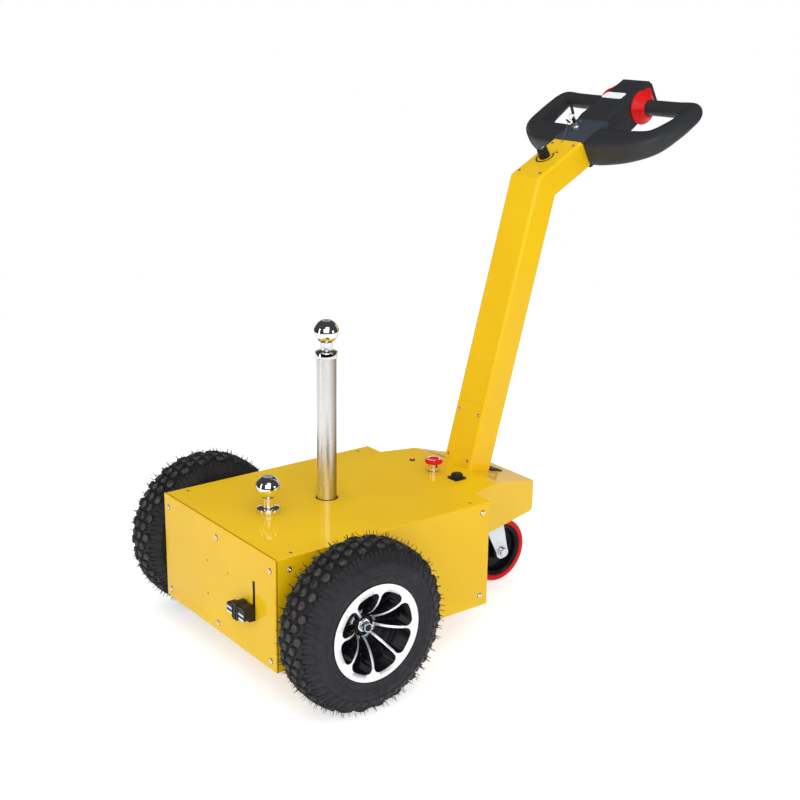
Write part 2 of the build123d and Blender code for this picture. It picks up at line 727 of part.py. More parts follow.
# Castor: top plate with its race and king pin, a swivelling fork, and the wheel on its bolt
castor_y = tail_end - castor_in
swivel_y = castor_y - castor_trail
race_low = tail_bottom - castor_plate_thick - race_height
crown_top = race_low - race_gap
crown_low = crown_top - crown_thick
plate = block(-castor_plate_width / 2, castor_plate_width / 2, swivel_y - castor_plate_length / 2,
              swivel_y + castor_plate_length / 2, tail_bottom - castor_plate_thick, tail_bottom)
plate = fillet(plate.edges().filter_by(Axis.Z), castor_plate_thick)
plate += upright(0, swivel_y, race_low, race_radius, race_height)
king_low = crown_low - race_gap - king_head_height
plate += upright(0, swivel_y, king_low, king_radius, tail_bottom - castor_plate_thick - king_low)
plate += upright(0, swivel_y, king_low, king_head_radius, king_head_height)
save("castor_plate", plate)

leg_inner = castor_width / 2 + fork_side_gap
crown = upright(0, swivel_y, crown_low, race_radius, crown_thick)
leg_plan = [(swivel_y - race_radius * fork_front_share, crown_top),
            (swivel_y + race_radius * fork_back_share, crown_top),
            (castor_y + fork_round, castor_radius), (castor_y - fork_round, castor_radius)]
legs = side_shape(leg_plan, 2 * (leg_inner + fork_leg))
legs += crosswise(-leg_inner - fork_leg, leg_inner + fork_leg, castor_y, castor_radius, fork_round)
legs -= block(-leg_inner, leg_inner, 0, tail_end + overrun, 0, crown_low)
fork = crown + legs
fork -= upright(0, swivel_y, 0, king_radius + fit_gap, overrun)
fork -= crosswise(-overrun, overrun, castor_y, castor_radius, castor_axle_radius + seat_gap)
save("castor_fork", fork)

axle_end = leg_inner + fork_leg + castor_nut_thick
bolt = crosswise(-axle_end, axle_end, 0, 0, castor_axle_radius)
for side in (-1, 1):
    bolt += Pos(side * (axle_end - castor_nut_thick / 2), 0, 0) * Rot(0, 90, 0) * extrude(
        RegularPolygon(castor_nut_width / 2, 6, major_radius=False), castor_nut_thick / 2, both=True)
save("castor_axle", Pos(0, castor_y, castor_radius) * bolt)

half_castor = castor_width / 2
core_radius = castor_radius - castor_tread_thick
hub_half = leg_inner - hub_gap
rim_inner = core_radius - castor_rim_depth
half_core = [(hub_half, castor_axle_radius + fit_gap), (hub_half, castor_hub_radius),
             (castor_web, castor_hub_radius), (castor_web / 2, rim_inner), (half_castor, rim_inner),
             (half_castor, core_radius)]
core = spun([(-x, r) for x, r in half_core] + half_core[::-1])
save("castor_core", Pos(0, castor_y, castor_radius) * core)
half_tread = [(half_castor, core_radius), (half_castor, castor_radius - castor_tread_thick / 2),
              (half_castor * castor_flat_share, castor_radius)]
tread = spun([(-x, r) for x, r in half_tread] + half_tread[::-1])
save("castor_tread", Pos(0, castor_y, castor_radius) * tread)
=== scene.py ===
import json
import math
import random
import bmesh
import bpy
from mathutils import Matrix, Vector


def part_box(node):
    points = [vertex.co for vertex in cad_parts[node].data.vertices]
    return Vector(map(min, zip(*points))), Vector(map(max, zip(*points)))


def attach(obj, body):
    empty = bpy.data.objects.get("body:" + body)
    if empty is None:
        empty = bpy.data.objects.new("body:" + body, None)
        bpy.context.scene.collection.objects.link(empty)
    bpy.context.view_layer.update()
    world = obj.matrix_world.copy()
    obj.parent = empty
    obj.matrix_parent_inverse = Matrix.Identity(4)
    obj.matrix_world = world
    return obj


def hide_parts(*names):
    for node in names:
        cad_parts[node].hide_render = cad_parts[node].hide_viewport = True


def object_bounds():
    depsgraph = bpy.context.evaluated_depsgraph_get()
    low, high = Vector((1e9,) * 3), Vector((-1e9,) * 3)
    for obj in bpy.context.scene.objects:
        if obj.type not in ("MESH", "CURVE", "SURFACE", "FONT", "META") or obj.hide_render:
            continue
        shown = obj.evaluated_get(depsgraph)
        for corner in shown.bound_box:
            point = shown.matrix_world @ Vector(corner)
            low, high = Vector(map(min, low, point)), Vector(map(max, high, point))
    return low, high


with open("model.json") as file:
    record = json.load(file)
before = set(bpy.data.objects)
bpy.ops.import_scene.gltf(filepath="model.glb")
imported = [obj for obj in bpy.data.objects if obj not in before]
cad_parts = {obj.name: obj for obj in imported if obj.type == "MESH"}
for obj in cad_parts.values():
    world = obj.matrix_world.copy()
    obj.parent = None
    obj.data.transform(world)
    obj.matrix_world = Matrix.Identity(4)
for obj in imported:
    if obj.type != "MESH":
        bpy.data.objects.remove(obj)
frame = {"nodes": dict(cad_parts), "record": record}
cadLow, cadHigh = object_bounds()
nodes = frame["nodes"]
print("frame loaded:", len(nodes), "pieces")


# Camera and stage

def addCamera():
    v = {
        "place": (2.15357, -1.76376, 1.31169),
        "turn": (73.52, -0.584, 53.15),
        "lens": 60.3,
        "sensor": 36,
        "shift": (0.016, -0.0143),
    }
    data = bpy.data.cameras.new("studioCamera")
    data.lens = v["lens"]
    data.sensor_width = v["sensor"]
    data.shift_x, data.shift_y = v["shift"]
    camera = bpy.data.objects.new("studioCamera", data)
    camera.location = v["place"]
    camera.rotation_euler = [math.radians(angle) for angle in v["turn"]]
    bpy.context.scene.collection.objects.link(camera)
    bpy.context.scene.camera = camera


def addNode(tree, kind, inputs=(), operation=None):  # each input is a value to set or an output to link
    node = tree.nodes.new("ShaderNode" + kind)
    if operation:
        node.operation = operation
    for key, value in dict(inputs).items():
        if isinstance(value, bpy.types.NodeSocket):
            tree.links.new(value, node.inputs[key])
        else:
            node.inputs[key].default_value = value
    return node


def addWorld():
    v = {
        "fill": (0.93, 0.96, 1.0),
        "fillStrength": 0.73,
        "paleLow": 0.95,
        "darkHigh": 0.07,
        "paleEnd": 0.1,  # sine of the height above the horizon
        "darkStart": 0.34,
        "paleSide": (-0.72, 0.69, 0),
        "sideStart": 0.6,
        "sideFull": 0.85,
    }
    world = bpy.data.worlds.new("studioWorld")
    bpy.context.scene.world = world
    world.use_nodes = True
    tree = world.node_tree
    tree.nodes.clear()
    path = addNode(tree, "LightPath").outputs
    place = addNode(tree, "TexCoord").outputs["Generated"]
    split = addNode(tree, "SeparateXYZ", {0: place})
    height = addNode(tree, "MapRange", {"Value": split.outputs["Z"], "From Min": v["paleEnd"],
                                        "From Max": v["darkStart"], "To Min": v["paleLow"],
                                        "To Max": 0})
    toSide = addNode(tree, "VectorMath", {0: place, 1: v["paleSide"]}, "DOT_PRODUCT")
    side = addNode(tree, "MapRange", {"Value": toSide.outputs["Value"], "From Min": v["sideStart"],
                                      "From Max": v["sideFull"]})
    glow = addNode(tree, "Math", {0: height.outputs[0], 1: side.outputs[0], 2: v["darkHigh"]},
                   "MULTIPLY_ADD")
    fill = addNode(tree, "Background", {"Color": (*v["fill"], 1), "Strength": v["fillStrength"]})
    room = addNode(tree, "Background", {"Strength": glow.outputs[0]})
    back = addNode(tree, "Background", {"Color": (1, 1, 1, 1)})
    seen = addNode(tree, "Math", {0: path["Is Camera Ray"], 1: path["Is Transmission Ray"]}, "MAXIMUM")
    roomMix = addNode(tree, "MixShader", {0: path["Is Glossy Ray"], 1: fill.outputs[0], 2: room.outputs[0]})
    backMix = addNode(tree, "MixShader", {0: seen.outputs[0], 1: roomMix.outputs[0], 2: back.outputs[0]})
    addNode(tree, "OutputWorld", {"Surface": backMix.outputs[0]})


def addFloor():
    v = {"half": 20, "colour": 0.8, "lift": 0.5, "nearShadow": 1.2, "farWhite": 3.2, "mirrored": 0.7,
         "paperEnd": 3.2, "roomStart": 4.2}
    bm = bmesh.new()
    bmesh.ops.create_grid(bm, x_segments=1, y_segments=1, size=v["half"])
    floor = bpy.data.objects.new("floor", meshOf(bm, "floor"))
    bpy.context.scene.collection.objects.link(floor)
    material = bpy.data.materials.new("paleFloor")
    material.use_nodes = True
    tree = material.node_tree
    tree.nodes.clear()
    path = addNode(tree, "LightPath").outputs
    place = addNode(tree, "TexCoord").outputs["Object"]
    distance = addNode(tree, "VectorMath", {0: place}, "LENGTH").outputs["Value"]
    matte = addNode(tree, "BsdfDiffuse", {"Color": (*[v["colour"]] * 3, 1)})
    glow = addNode(tree, "Emission", {"Strength": v["lift"]})
    white = addNode(tree, "Emission")
    both = addNode(tree, "AddShader", {0: matte.outputs[0], 1: glow.outputs[0]})
    ramp = addNode(tree, "MapRange", {"Value": distance, "From Min": v["nearShadow"],
                                      "From Max": v["farWhite"]})
    fade = addNode(tree, "MixShader", {0: ramp.outputs[0], 1: both.outputs[0], 2: white.outputs[0]})
    part = addNode(tree, "Math", {0: path["Is Glossy Ray"], 1: v["mirrored"]}, "MULTIPLY")
    seen = addNode(tree, "Math", {0: path["Is Camera Ray"], 1: part.outputs[0]}, "MAXIMUM")
    seenMix = addNode(tree, "MixShader", {0: seen.outputs[0], 1: matte.outputs[0], 2: fade.outputs[0]})
    paper = addNode(tree, "MapRange", {"Value": distance, "From Min": v["paperEnd"],
                                       "From Max": v["roomStart"]})
    ended = addNode(tree, "Math", {0: paper.outputs[0], 1: path["Is Glossy Ray"]}, "MULTIPLY")
    dark = addNode(tree, "MixShader", {0: ended.outputs[0], 1: seenMix.outputs[0]})  # past the paper
    addNode(tree, "OutputMaterial", {"Surface": dark.outputs[0]})
    floor.data.materials.append(material)


def addLamp(name, place, target, size, power, mirrored=True):
    data = bpy.data.lights.new(name, "AREA")
    data.shape = "RECTANGLE"
    data.size, data.size_y = size
    data.energy = power
    lamp = bpy.data.objects.new(name, data)
    lamp.location = place
    lamp.visible_glossy = mirrored
    lamp.rotation_euler = (Vector(target) - Vector(place)).to_track_quat("-Z", "Y").to_euler()
    bpy.context.scene.collection.objects.link(lamp)


def addLamps():
    middle = (0, 0, 0.4)
    addLamp("topBox", (0.2, -0.2, 3.2), middle, (3.0, 3.0), 13, mirrored=False)
    addLamp("cameraBox", (2.85, -2.2, 1.75), middle, (3.2, 2.2), 50)
    addLamp("keyBox", (2.3, -1.2, 2.7), middle, (1.9, 1.5), 12)
    addLamp("leftStrip", (-0.6, -3.2, 1.0), middle, (0.4, 2.1), 10.5)
    addLamp("rightSpot", (3.0, 1.35, 0.95), middle, (0.6, 0.6), 8)


# Materials: patterns are read from the piece's own Object coordinates

def shaderOf(material):
    return material.node_tree.nodes["Principled BSDF"]


def addNoise(material, scale, detail, stretch=(1, 1, 1)):
    tree = material.node_tree
    place = addNode(tree, "TexCoord").outputs["Object"]
    mapping = addNode(tree, "Mapping", {"Vector": place, "Scale": stretch}).outputs[0]
    return addNode(tree, "TexNoise", {"Vector": mapping, "Scale": scale, "Detail": detail}).outputs["Fac"]


def varyColour(material, source, low, high, fromLow=0.3, fromHigh=0.7):
    ramp = addNode(material.node_tree, "ValToRGB", {0: source})
    for end, position, colour in zip(ramp.color_ramp.elements, (fromLow, fromHigh), (low, high)):
        end.position = position
        end.color = (*colour, 1)
    material.node_tree.links.new(ramp.outputs[0], shaderOf(material).inputs["Base Color"])


def varyRoughness(material, source, low, high):
    spread = addNode(material.node_tree, "MapRange", {"Value": source, "From Min": 0.3, "From Max": 0.7,
                                                      "To Min": low, "To Max": high})
    material.node_tree.links.new(spread.outputs[0], shaderOf(material).inputs["Roughness"])


def addBump(material, source, depth, strength=1.0, coat=False):
    bump = addNode(material.node_tree, "Bump", {"Height": source, "Distance": depth, "Strength": strength})
    for name in ("Normal", "Coat Normal") if coat else ("Normal",):
        material.node_tree.links.new(bump.outputs[0], shaderOf(material).inputs[name])


def finish(name, colour, roughness, metallic=0.0, specular=None, tint=None, gloss=None, grain=None):
    material = bpy.data.materials.new(name)
    material.use_nodes = True
    inputs = shaderOf(material).inputs
    inputs["Base Color"].default_value = (*colour, 1)
    inputs["Roughness"].default_value = roughness
    inputs["Metallic"].default_value = metallic
    if specular is not None:
        inputs["Specular IOR Level"].default_value = specular
    for vary, row in ((varyColour, tint), (varyRoughness, gloss), (addBump, grain)):
        if row:
            scale, detail, *ends = row
            vary(material, addNoise(material, scale, detail), *ends)
    return material


finishes = {  # tint, gloss, grain: noise scale, detail, then the two ends or the depth and strength
    "polishedChrome": {"colour": (0.86, 0.87, 0.88), "roughness": 0.04, "metallic": 1.0,
                       "gloss": (40, 4, 0.02, 0.06)},
    "brightSteel": {"colour": (0.8, 0.81, 0.83), "roughness": 0.16, "metallic": 1.0,
                    "gloss": (250, 3, 0.12, 0.22)},
    "zincPlate": {"colour": (0.7, 0.74, 0.78), "roughness": 0.34, "metallic": 1.0,
                  "tint": (30, 3, (0.62, 0.66, 0.7), (0.76, 0.8, 0.83)), "gloss": (120, 4, 0.26, 0.44)},
    "machinedAlloy": {"colour": (0.95, 0.95, 0.96), "roughness": 0.34, "metallic": 0.85,
                      "gloss": (200, 4, 0.28, 0.42)},
    "redPlastic": {"colour": (0.69, 0.006, 0.008), "roughness": 0.32, "specular": 0.18,
                   "gloss": (80, 3, 0.27, 0.33)},
    "tyreRubber": {"colour": (0.0135, 0.0138, 0.0165), "roughness": 0.6, "specular": 0.35,
                   "tint": (25, 5, (0.0105, 0.011, 0.0142), (0.019, 0.0185, 0.0205)),
                   "gloss": (90, 4, 0.48, 0.72), "grain": (500, 4, 0.0002, 0.5)},
    "lighterTopRubber": {"colour": (0.05, 0.045, 0.04), "roughness": 0.75, "specular": 0.3,
                   "tint": (62, 6, (0.014, 0.013, 0.0125), (0.095, 0.08, 0.066)),
                   "grain": (500, 4, 0.0002, 0.5)},
}


def named(name):
    return finish(name, **finishes[name])


def yellowPaint():
    v = {"colour": (0.885, 0.548, 0.004), "deep": (0.845, 0.5, 0.003), "roughness": 0.5, "specular": 0.12,
         "coat": 0.45, "coatRoughness": 0.02, "peelScale": 260, "peelDepth": 0.00003}
    material = finish("yellowPaint", v["colour"], v["roughness"], specular=v["specular"],
                      tint=(6, 2, v["deep"], v["colour"]))
    shaderOf(material).inputs["Coat Weight"].default_value = v["coat"]
    shaderOf(material).inputs["Coat Roughness"].default_value = v["coatRoughness"]
    addBump(material, addNoise(material, v["peelScale"], 2), v["peelDepth"], coat=True)
    return material


def plainMatte(name, colour, roughness):
    return finish(name, colour, roughness, specular=0.2, gloss=(150, 3, roughness - 0.08, roughness + 0.08))


def blackPlastic(name, colour, roughness):
    return finish(name, colour, roughness, specular=0.35, gloss=(60, 3, roughness - 0.06, roughness + 0.06),
                  grain=(900, 2, 0.00008, 0.5))


def satinSteel():  # painted shade: darker and browner on the side away from the light
    v = {"pale": (0.78, 0.765, 0.74), "paintedShade": (0.31, 0.26, 0.2), "roughness": 0.3, "away": (0.45, 0.9, 0),
         "shadeFrom": 0.55, "shadeTo": 0.92, "grainDepth": 0.000004}
    material = finish("satinSteel", v["pale"], v["roughness"], 1.0)
    tree = material.node_tree
    low, high = boxOf("tow_post")
    place = addNode(tree, "TexCoord").outputs["Object"]
    centre = addNode(tree, "Mapping", {"Vector": place, "Location": -(low + high) / 2})
    across = addNode(tree, "VectorMath", {0: centre.outputs[0], 1: v["away"]}, "DOT_PRODUCT")
    scale = addNode(tree, "Math", {0: across.outputs["Value"], 1: 0.5 / ((high.x - low.x) / 2), 2: 0.5},
                    "MULTIPLY_ADD")
    # painted shade: the colour runs from pale to dark brown across the post, away from the light
    varyColour(material, scale.outputs[0], v["pale"], v["paintedShade"], v["shadeFrom"],
               v["shadeTo"])
    grain = addNoise(material, 300, 4, (1, 1, 0.05))
    varyRoughness(material, grain, 0.24, 0.34)
    addBump(material, grain, v["grainDepth"])
    return material


def blackEnamel(name="blackEnamel", centre=None):  # with pressed rings about a wheel's centre
    material = finish(name, (0.005, 0.005, 0.007), 0.2, specular=0.16, gloss=(60, 3, 0.14, 0.28))
    if centre is not None:
        tree = material.node_tree
        place = addNode(tree, "TexCoord").outputs["Object"]
        mapping = addNode(tree, "Mapping", {"Vector": place, "Location": -centre})
        wave = addNode(tree, "TexWave", {"Vector": mapping.outputs[0], "Scale": 26})
        wave.wave_type = "RINGS"
        wave.rings_direction = "X"
        addBump(material, wave.outputs["Fac"], 0.0012, 0.9)
    return material


def dressFrame():
    made = {
        "paint": yellowPaint(), "chrome": named("polishedChrome"), "zinc": named("zincPlate"),
        "bright": named("brightSteel"), "satin": satinSteel(), "enamel": blackEnamel(),
        "red": named("redPlastic"),
        "black": blackPlastic("blackPlastic", (0.012, 0.012, 0.013), 0.42),
        "head": blackPlastic("headPlastic", (0.029, 0.0295, 0.0325), 0.46),
        "cover": blackPlastic("coverPlastic", (0.05, 0.057, 0.07), 0.42),
        "oxide": plainMatte("blackOxide", (0.01, 0.01, 0.011), 0.4),
        "battery": plainMatte("batteryCase", (0.02, 0.02, 0.022), 0.5),
        "label": plainMatte("whiteLabel", (0.88, 0.88, 0.88), 0.35),
        "white": plainMatte("whiteInk", (0.85, 0.86, 0.88), 0.5),
        "inkAndShade": plainMatte("blackInkAndShade", (0.006, 0.006, 0.006), 0.5),
        "seamShade": plainMatte("orangeSeamShade", (0.42, 0.165, 0.004), 0.7),
        "shade": plainMatte("screwShade", (0.05, 0.025, 0.01), 0.7),
        "blue": plainMatte("blueNylon", (0.02, 0.3, 0.62), 0.4),
        "pink": plainMatte("pinkLens", (0.75, 0.2, 0.28), 0.2),
        "grey": plainMatte("greyCap", (0.12, 0.125, 0.13), 0.4),
        "topReflection": plainMatte("paintedTopReflection", (0.3, 0.31, 0.33), 0.4),
        "glass": plainMatte("gaugeGlass", (0.12, 0.13, 0.12), 0.12),
    }
    coats = {
        "paint": ("deck_plate", "side_panel_left", "side_panel_right", "front_plate", "belly_pan",
                  "tail_shell", "tiller_column", "tiller_foot_cover", "tiller_top_cover"),
        "chrome": ("tow_ball_low", "tow_ball_high", "stop_collar"),
        "satin": ("tow_post",),
        "black": ("release_lever", "socket_cap", "battery_gauge", "speed_knob", "drive_unit"),
        "battery": ("battery_block",),
        "head": ("head_spine", "handle_loop_left", "handle_loop_right"),
        "cover": ("head_cover",),
        "red": ("stop_button", "thumb_wheel_left", "thumb_wheel_right", "castor_tread"),
        "pink": ("warning_lamp",),
        "zinc": ("castor_plate", "castor_fork", "castor_axle", "axle_bearing_left", "axle_bearing_right",
                 "post_socket"),
        "bright": ("wheel_nut_left", "wheel_nut_right", "key_switch"),
        "oxide": ("axle_shaft_left", "axle_shaft_right"),
        "enamel": ("castor_core",),
        "label": ("label_plate",),
    }
    for finishName, names in coats.items():
        for name in names:
            mesh = nodes[name].data
            mesh.materials.clear()
            mesh.materials.append(made[finishName])
    return made


# Helpers: every piece is shaped in a bmesh and keeps its place in its mesh

def newPiece(name, bm, body, materials, sharp=35):
    mesh = bpy.data.meshes.new(name)
    bm.to_mesh(mesh)
    bm.free()
    for material in materials:
        mesh.materials.append(material)
    mesh.polygons.foreach_set("use_smooth", [True] * len(mesh.polygons))
    mesh.set_sharp_from_angle(angle=math.radians(sharp))
    piece = bpy.data.objects.new(name, mesh)
    bpy.context.scene.collection.objects.link(piece)
    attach(piece, body)
    return piece


def bodyOf(node):
    for body, names in frame["record"]["behaviour"]["bodies"].items():
        if node in names:
            return body


def meshOf(bm, name="part"):
    mesh = bpy.data.meshes.new(name)
    bm.to_mesh(mesh)
    bm.free()
    return mesh


def outward(bm):  # the mesh with its faces pointing outwards
    bmesh.ops.recalc_face_normals(bm, faces=bm.faces)
    return meshOf(bm)


def vertsOf(items):
    return [item for item in items if isinstance(item, bmesh.types.BMVert)]


def pullFaces(bm, faces, rise):  # extrudes along Z and returns the new corners
    top = vertsOf(bmesh.ops.extrude_face_region(bm, geom=faces)["geom"])
    bmesh.ops.translate(bm, vec=(0, 0, rise), verts=top)
    return top


def pullRing(bm, ring):  # extrudes in place and returns the new corners and edges
    grown = bmesh.ops.extrude_edge_only(bm, edges=ring)["geom"]
    return vertsOf(grown), [item for item in grown if isinstance(item, bmesh.types.BMEdge)]


def roundEdges(bm, edges, width, segments=2, clamp=False):
    bmesh.ops.bevel(bm, geom=edges, offset=width, offset_type="OFFSET", segments=segments, profile=0.5,
                    affect="EDGES", clamp_overlap=clamp, material=-1)


def stamp(bm, mesh, matrix, slot=None):  # adds a placed copy of a mesh
    copy = mesh.copy()
    copy.transform(matrix)
    if matrix.determinant() < 0:
        copy.flip_normals()
    if slot is not None:
        copy.polygons.foreach_set("material_index", [slot] * len(copy.polygons))
    bm.from_mesh(copy)
    bpy.data.meshes.remove(copy)


def turned(points, steps=48, sweep=math.tau):  # a mesh spun about Z from (radius, height) pairs
    bm = bmesh.new()
    verts = [bm.verts.new((radius, 0, height)) for radius, height in points]
    edges = [bm.edges.new(pair) for pair in zip(verts, verts[1:])]
    bmesh.ops.spin(bm, geom=verts + edges, cent=(0, 0, 0), axis=(0, 0, 1), steps=steps, angle=sweep,
                   use_merge=sweep == math.tau)
    bmesh.ops.remove_doubles(bm, verts=bm.verts, dist=0.000005)
    return outward(bm)


def arcPoints(radius, start, end, steps, across=0, up=0):  # angles in degrees above the horizontal
    turns = [math.radians(start + (end - start) * step / steps) for step in range(steps + 1)]
    return [(across + radius * math.cos(turn), up + radius * math.sin(turn)) for turn in turns]


def growRing(bm, ring, steps):  # extrudes a ring of edges about Z through (scale, rise) steps
    for scale, rise in steps:
        verts, ring = pullRing(bm, ring)
        bmesh.ops.scale(bm, vec=(scale, scale, 1), verts=verts)
        bmesh.ops.translate(bm, vec=(0, 0, rise), verts=verts)
    return ring


def roundedBox(size, edge, segments=2):  # centred
    bm = bmesh.new()
    bmesh.ops.create_cube(bm, size=1)
    bmesh.ops.scale(bm, vec=size, verts=bm.verts)
    roundEdges(bm, bm.edges[:], edge, segments)
    return meshOf(bm)


def hexHead(radius, tall, edge, foot=0.0):  # a nut's hexagon standing on its foot
    bm = bmesh.new()
    bmesh.ops.create_circle(bm, cap_ends=True, segments=6, radius=radius)
    bmesh.ops.translate(bm, vec=(0, 0, foot), verts=bm.verts)
    pullFaces(bm, bm.faces[:], tall)
    roundEdges(bm, bm.edges[:], edge)
    return meshOf(bm)


def seat(x, y, z, turnX=0, turnY=0, turnZ=0):  # a place whose own Z looks where the turns point it
    turn = (Matrix.Rotation(math.radians(turnZ), 4, "Z") @ Matrix.Rotation(math.radians(turnY), 4, "Y")
            @ Matrix.Rotation(math.radians(turnX), 4, "X"))
    return Matrix.Translation((x, y, z)) @ turn


def boxOf(node):
    return [Vector(corner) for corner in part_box(node)]


def shifted(place, *step):  # a place moved along its own axes
    return place @ Matrix.Translation(step)


# Tyres: a smooth carcass, six staggered rows of hexagonal blocks, ribs on both shoulders and moulding hairs

tyreSizes = {
    "pitches": 24,
    "lug": 0.006,
    "bead": 0.0971,  # radius
    "fullest": 0.37,  # share of the depth where the wall is widest
    "roundness": 3.3,
    "beadDraw": 0.05,
    "wallSteps": 6,
    "crownSteps": 14,
    "wallRings": (0.1135, 0.1245),
    "ringHeight": 0.0006,
    "ringHalf": 0.0009,
    "rowAcross": 0.011,
    "rows": 6,
    "blockWidth": 0.0188,
    "blockLength": 0.0215,
    "blockRoot": 0.0025,
    "blockDraft": 0.86,
    "blockBevel": 0.0011,
    "topDepth": 0.0004,
    "bars": 48,
    # ribs and pads: from, to, near and far width, near and far height, share of a step
    "ribs": (0.0325, 0.0468, 0.0088, 0.002, 0.0036, 0.0004, 0.25),
    "pads": (0.0345, 0.0483, 0.0104 * 0.8, 0.0104 * 1.2, 0.0022, 0.0006, 0.75),
    "barSink": 0.0012,
    "barRoot": 0.003,
    "barBevel": 0.0006,
    "twoHairs": 0.7,  # share of the places with a second hair
    "hairLength": (0.0065, 0.0115),
    "hairRadius": 0.00095,
    "hairLean": 0.4,
    "hairSteps": 3,
    "hairTaper": 0.8,
    "hairFoot": (0.005, 0.006, 0.0012),  # spread each way and depth
    "boxMargin": 0.0025,
}


def tyreOutline(half, crown):  # the outline from the bead to the crown as (across, radius)
    v = tyreSizes
    depth = crown - v["bead"]
    wall = []
    for step in range(v["wallSteps"]):
        share = v["fullest"] * step / v["wallSteps"]
        inward = v["beadDraw"] * (1 - share / v["fullest"]) ** 3
        wall.append((half * (1 - inward), v["bead"] + share * depth))
    for radius in v["wallRings"]:
        for offset, height in ((-1, 0), (-0.4, 1), (0.4, 1), (1, 0)):
            wall.append((half * 0.996 + height * v["ringHeight"] - v["ringHeight"],
                         radius + offset * v["ringHalf"]))
    wall.sort(key=lambda point: point[1])
    for step in range(v["crownSteps"] + 1):
        turn = math.pi / 2 * (1 - step / v["crownSteps"])
        share = v["fullest"] + (1 - v["fullest"]) * math.cos(turn)
        wall.append((half * math.sin(turn) ** (2 / v["roundness"]), v["bead"] + share * depth))
    return wall


def crownPlace(across, half, crown):  # radius and tilt of the carcass at a place across it
    v = tyreSizes
    depth = crown - v["bead"]

    def radiusAt(x):
        share = min(abs(x) / half, 0.9999)
        fall = math.sqrt(1 - share ** v["roundness"])
        return v["bead"] + depth * (v["fullest"] + (1 - v["fullest"]) * fall)
    step = 0.0004
    slope = (radiusAt(across + step) - radiusAt(across - step)) / (2 * step)
    return radiusAt(across), math.atan(-slope)


def hexBlock():
    v = tyreSizes
    bm = bmesh.new()
    bmesh.ops.create_circle(bm, cap_ends=True, segments=6, radius=0.5)
    bmesh.ops.scale(bm, vec=(v["blockLength"], v["blockWidth"], 1), verts=bm.verts)
    bmesh.ops.rotate(bm, matrix=Matrix.Rotation(math.pi / 2, 3, "Z"), verts=bm.verts)
    bmesh.ops.translate(bm, vec=(0, 0, -v["blockRoot"]), verts=bm.verts)
    base = bm.faces[:]
    top = pullFaces(bm, base, v["blockRoot"] + v["lug"])
    bmesh.ops.scale(bm, vec=(v["blockDraft"], v["blockDraft"], 1), verts=top)
    bmesh.ops.delete(bm, geom=base, context="FACES_ONLY")
    rim = [edge for edge in bm.edges if all(vert in top for vert in edge.verts)]
    sides = [edge for edge in bm.edges if sum(vert in top for vert in edge.verts) == 1]
    roundEdges(bm, rim + sides, v["blockBevel"])
    bmesh.ops.recalc_face_normals(bm, faces=bm.faces)
    high = max(vert.co.z for vert in bm.verts)
    # the block tops get a lighter, browner rubber
    for face in bm.faces:
        face.material_index = 1 if face.calc_center_median().z > high - v["topDepth"] else 0
    return meshOf(bm)


def shoulderBar(length, nearWidth, farWidth, nearHeight, farHeight):  # a wedge along X from the origin
    bm = bmesh.new()
    bmesh.ops.create_cube(bm, size=1)
    for vert in bm.verts:
        far = vert.co.x > 0
        width, height = (farWidth, farHeight) if far else (nearWidth, nearHeight)
        vert.co = (length if far else 0, math.copysign(width / 2, vert.co.y),
                   height if vert.co.z > 0 else -tyreSizes["barRoot"])
    upper = [edge for edge in bm.edges if min(vert.co.z for vert in edge.verts) > -0.002]
    roundEdges(bm, upper, tyreSizes["barBevel"], 1)
    return meshOf(bm)


def hair(length, lean, roll):
    v = tyreSizes
    bm = bmesh.new()
    bmesh.ops.create_circle(bm, cap_ends=False, segments=4, radius=v["hairRadius"])
    ring = bm.edges[:]
    steps = v["hairSteps"]
    for step in range(steps):
        verts, ring = pullRing(bm, ring)
        sway = Vector((math.cos(roll), math.sin(roll), 0)) * lean * length / steps * (step + 1) / 2
        bmesh.ops.translate(bm, vec=Vector((0, 0, length / steps)) + sway, verts=verts)
        middle = sum((vert.co for vert in verts), Vector()) / len(verts)
        bmesh.ops.scale(bm, vec=(v["hairTaper"], v["hairTaper"], 1),
                        space=Matrix.Translation(-middle), verts=verts)
    return meshOf(bm)


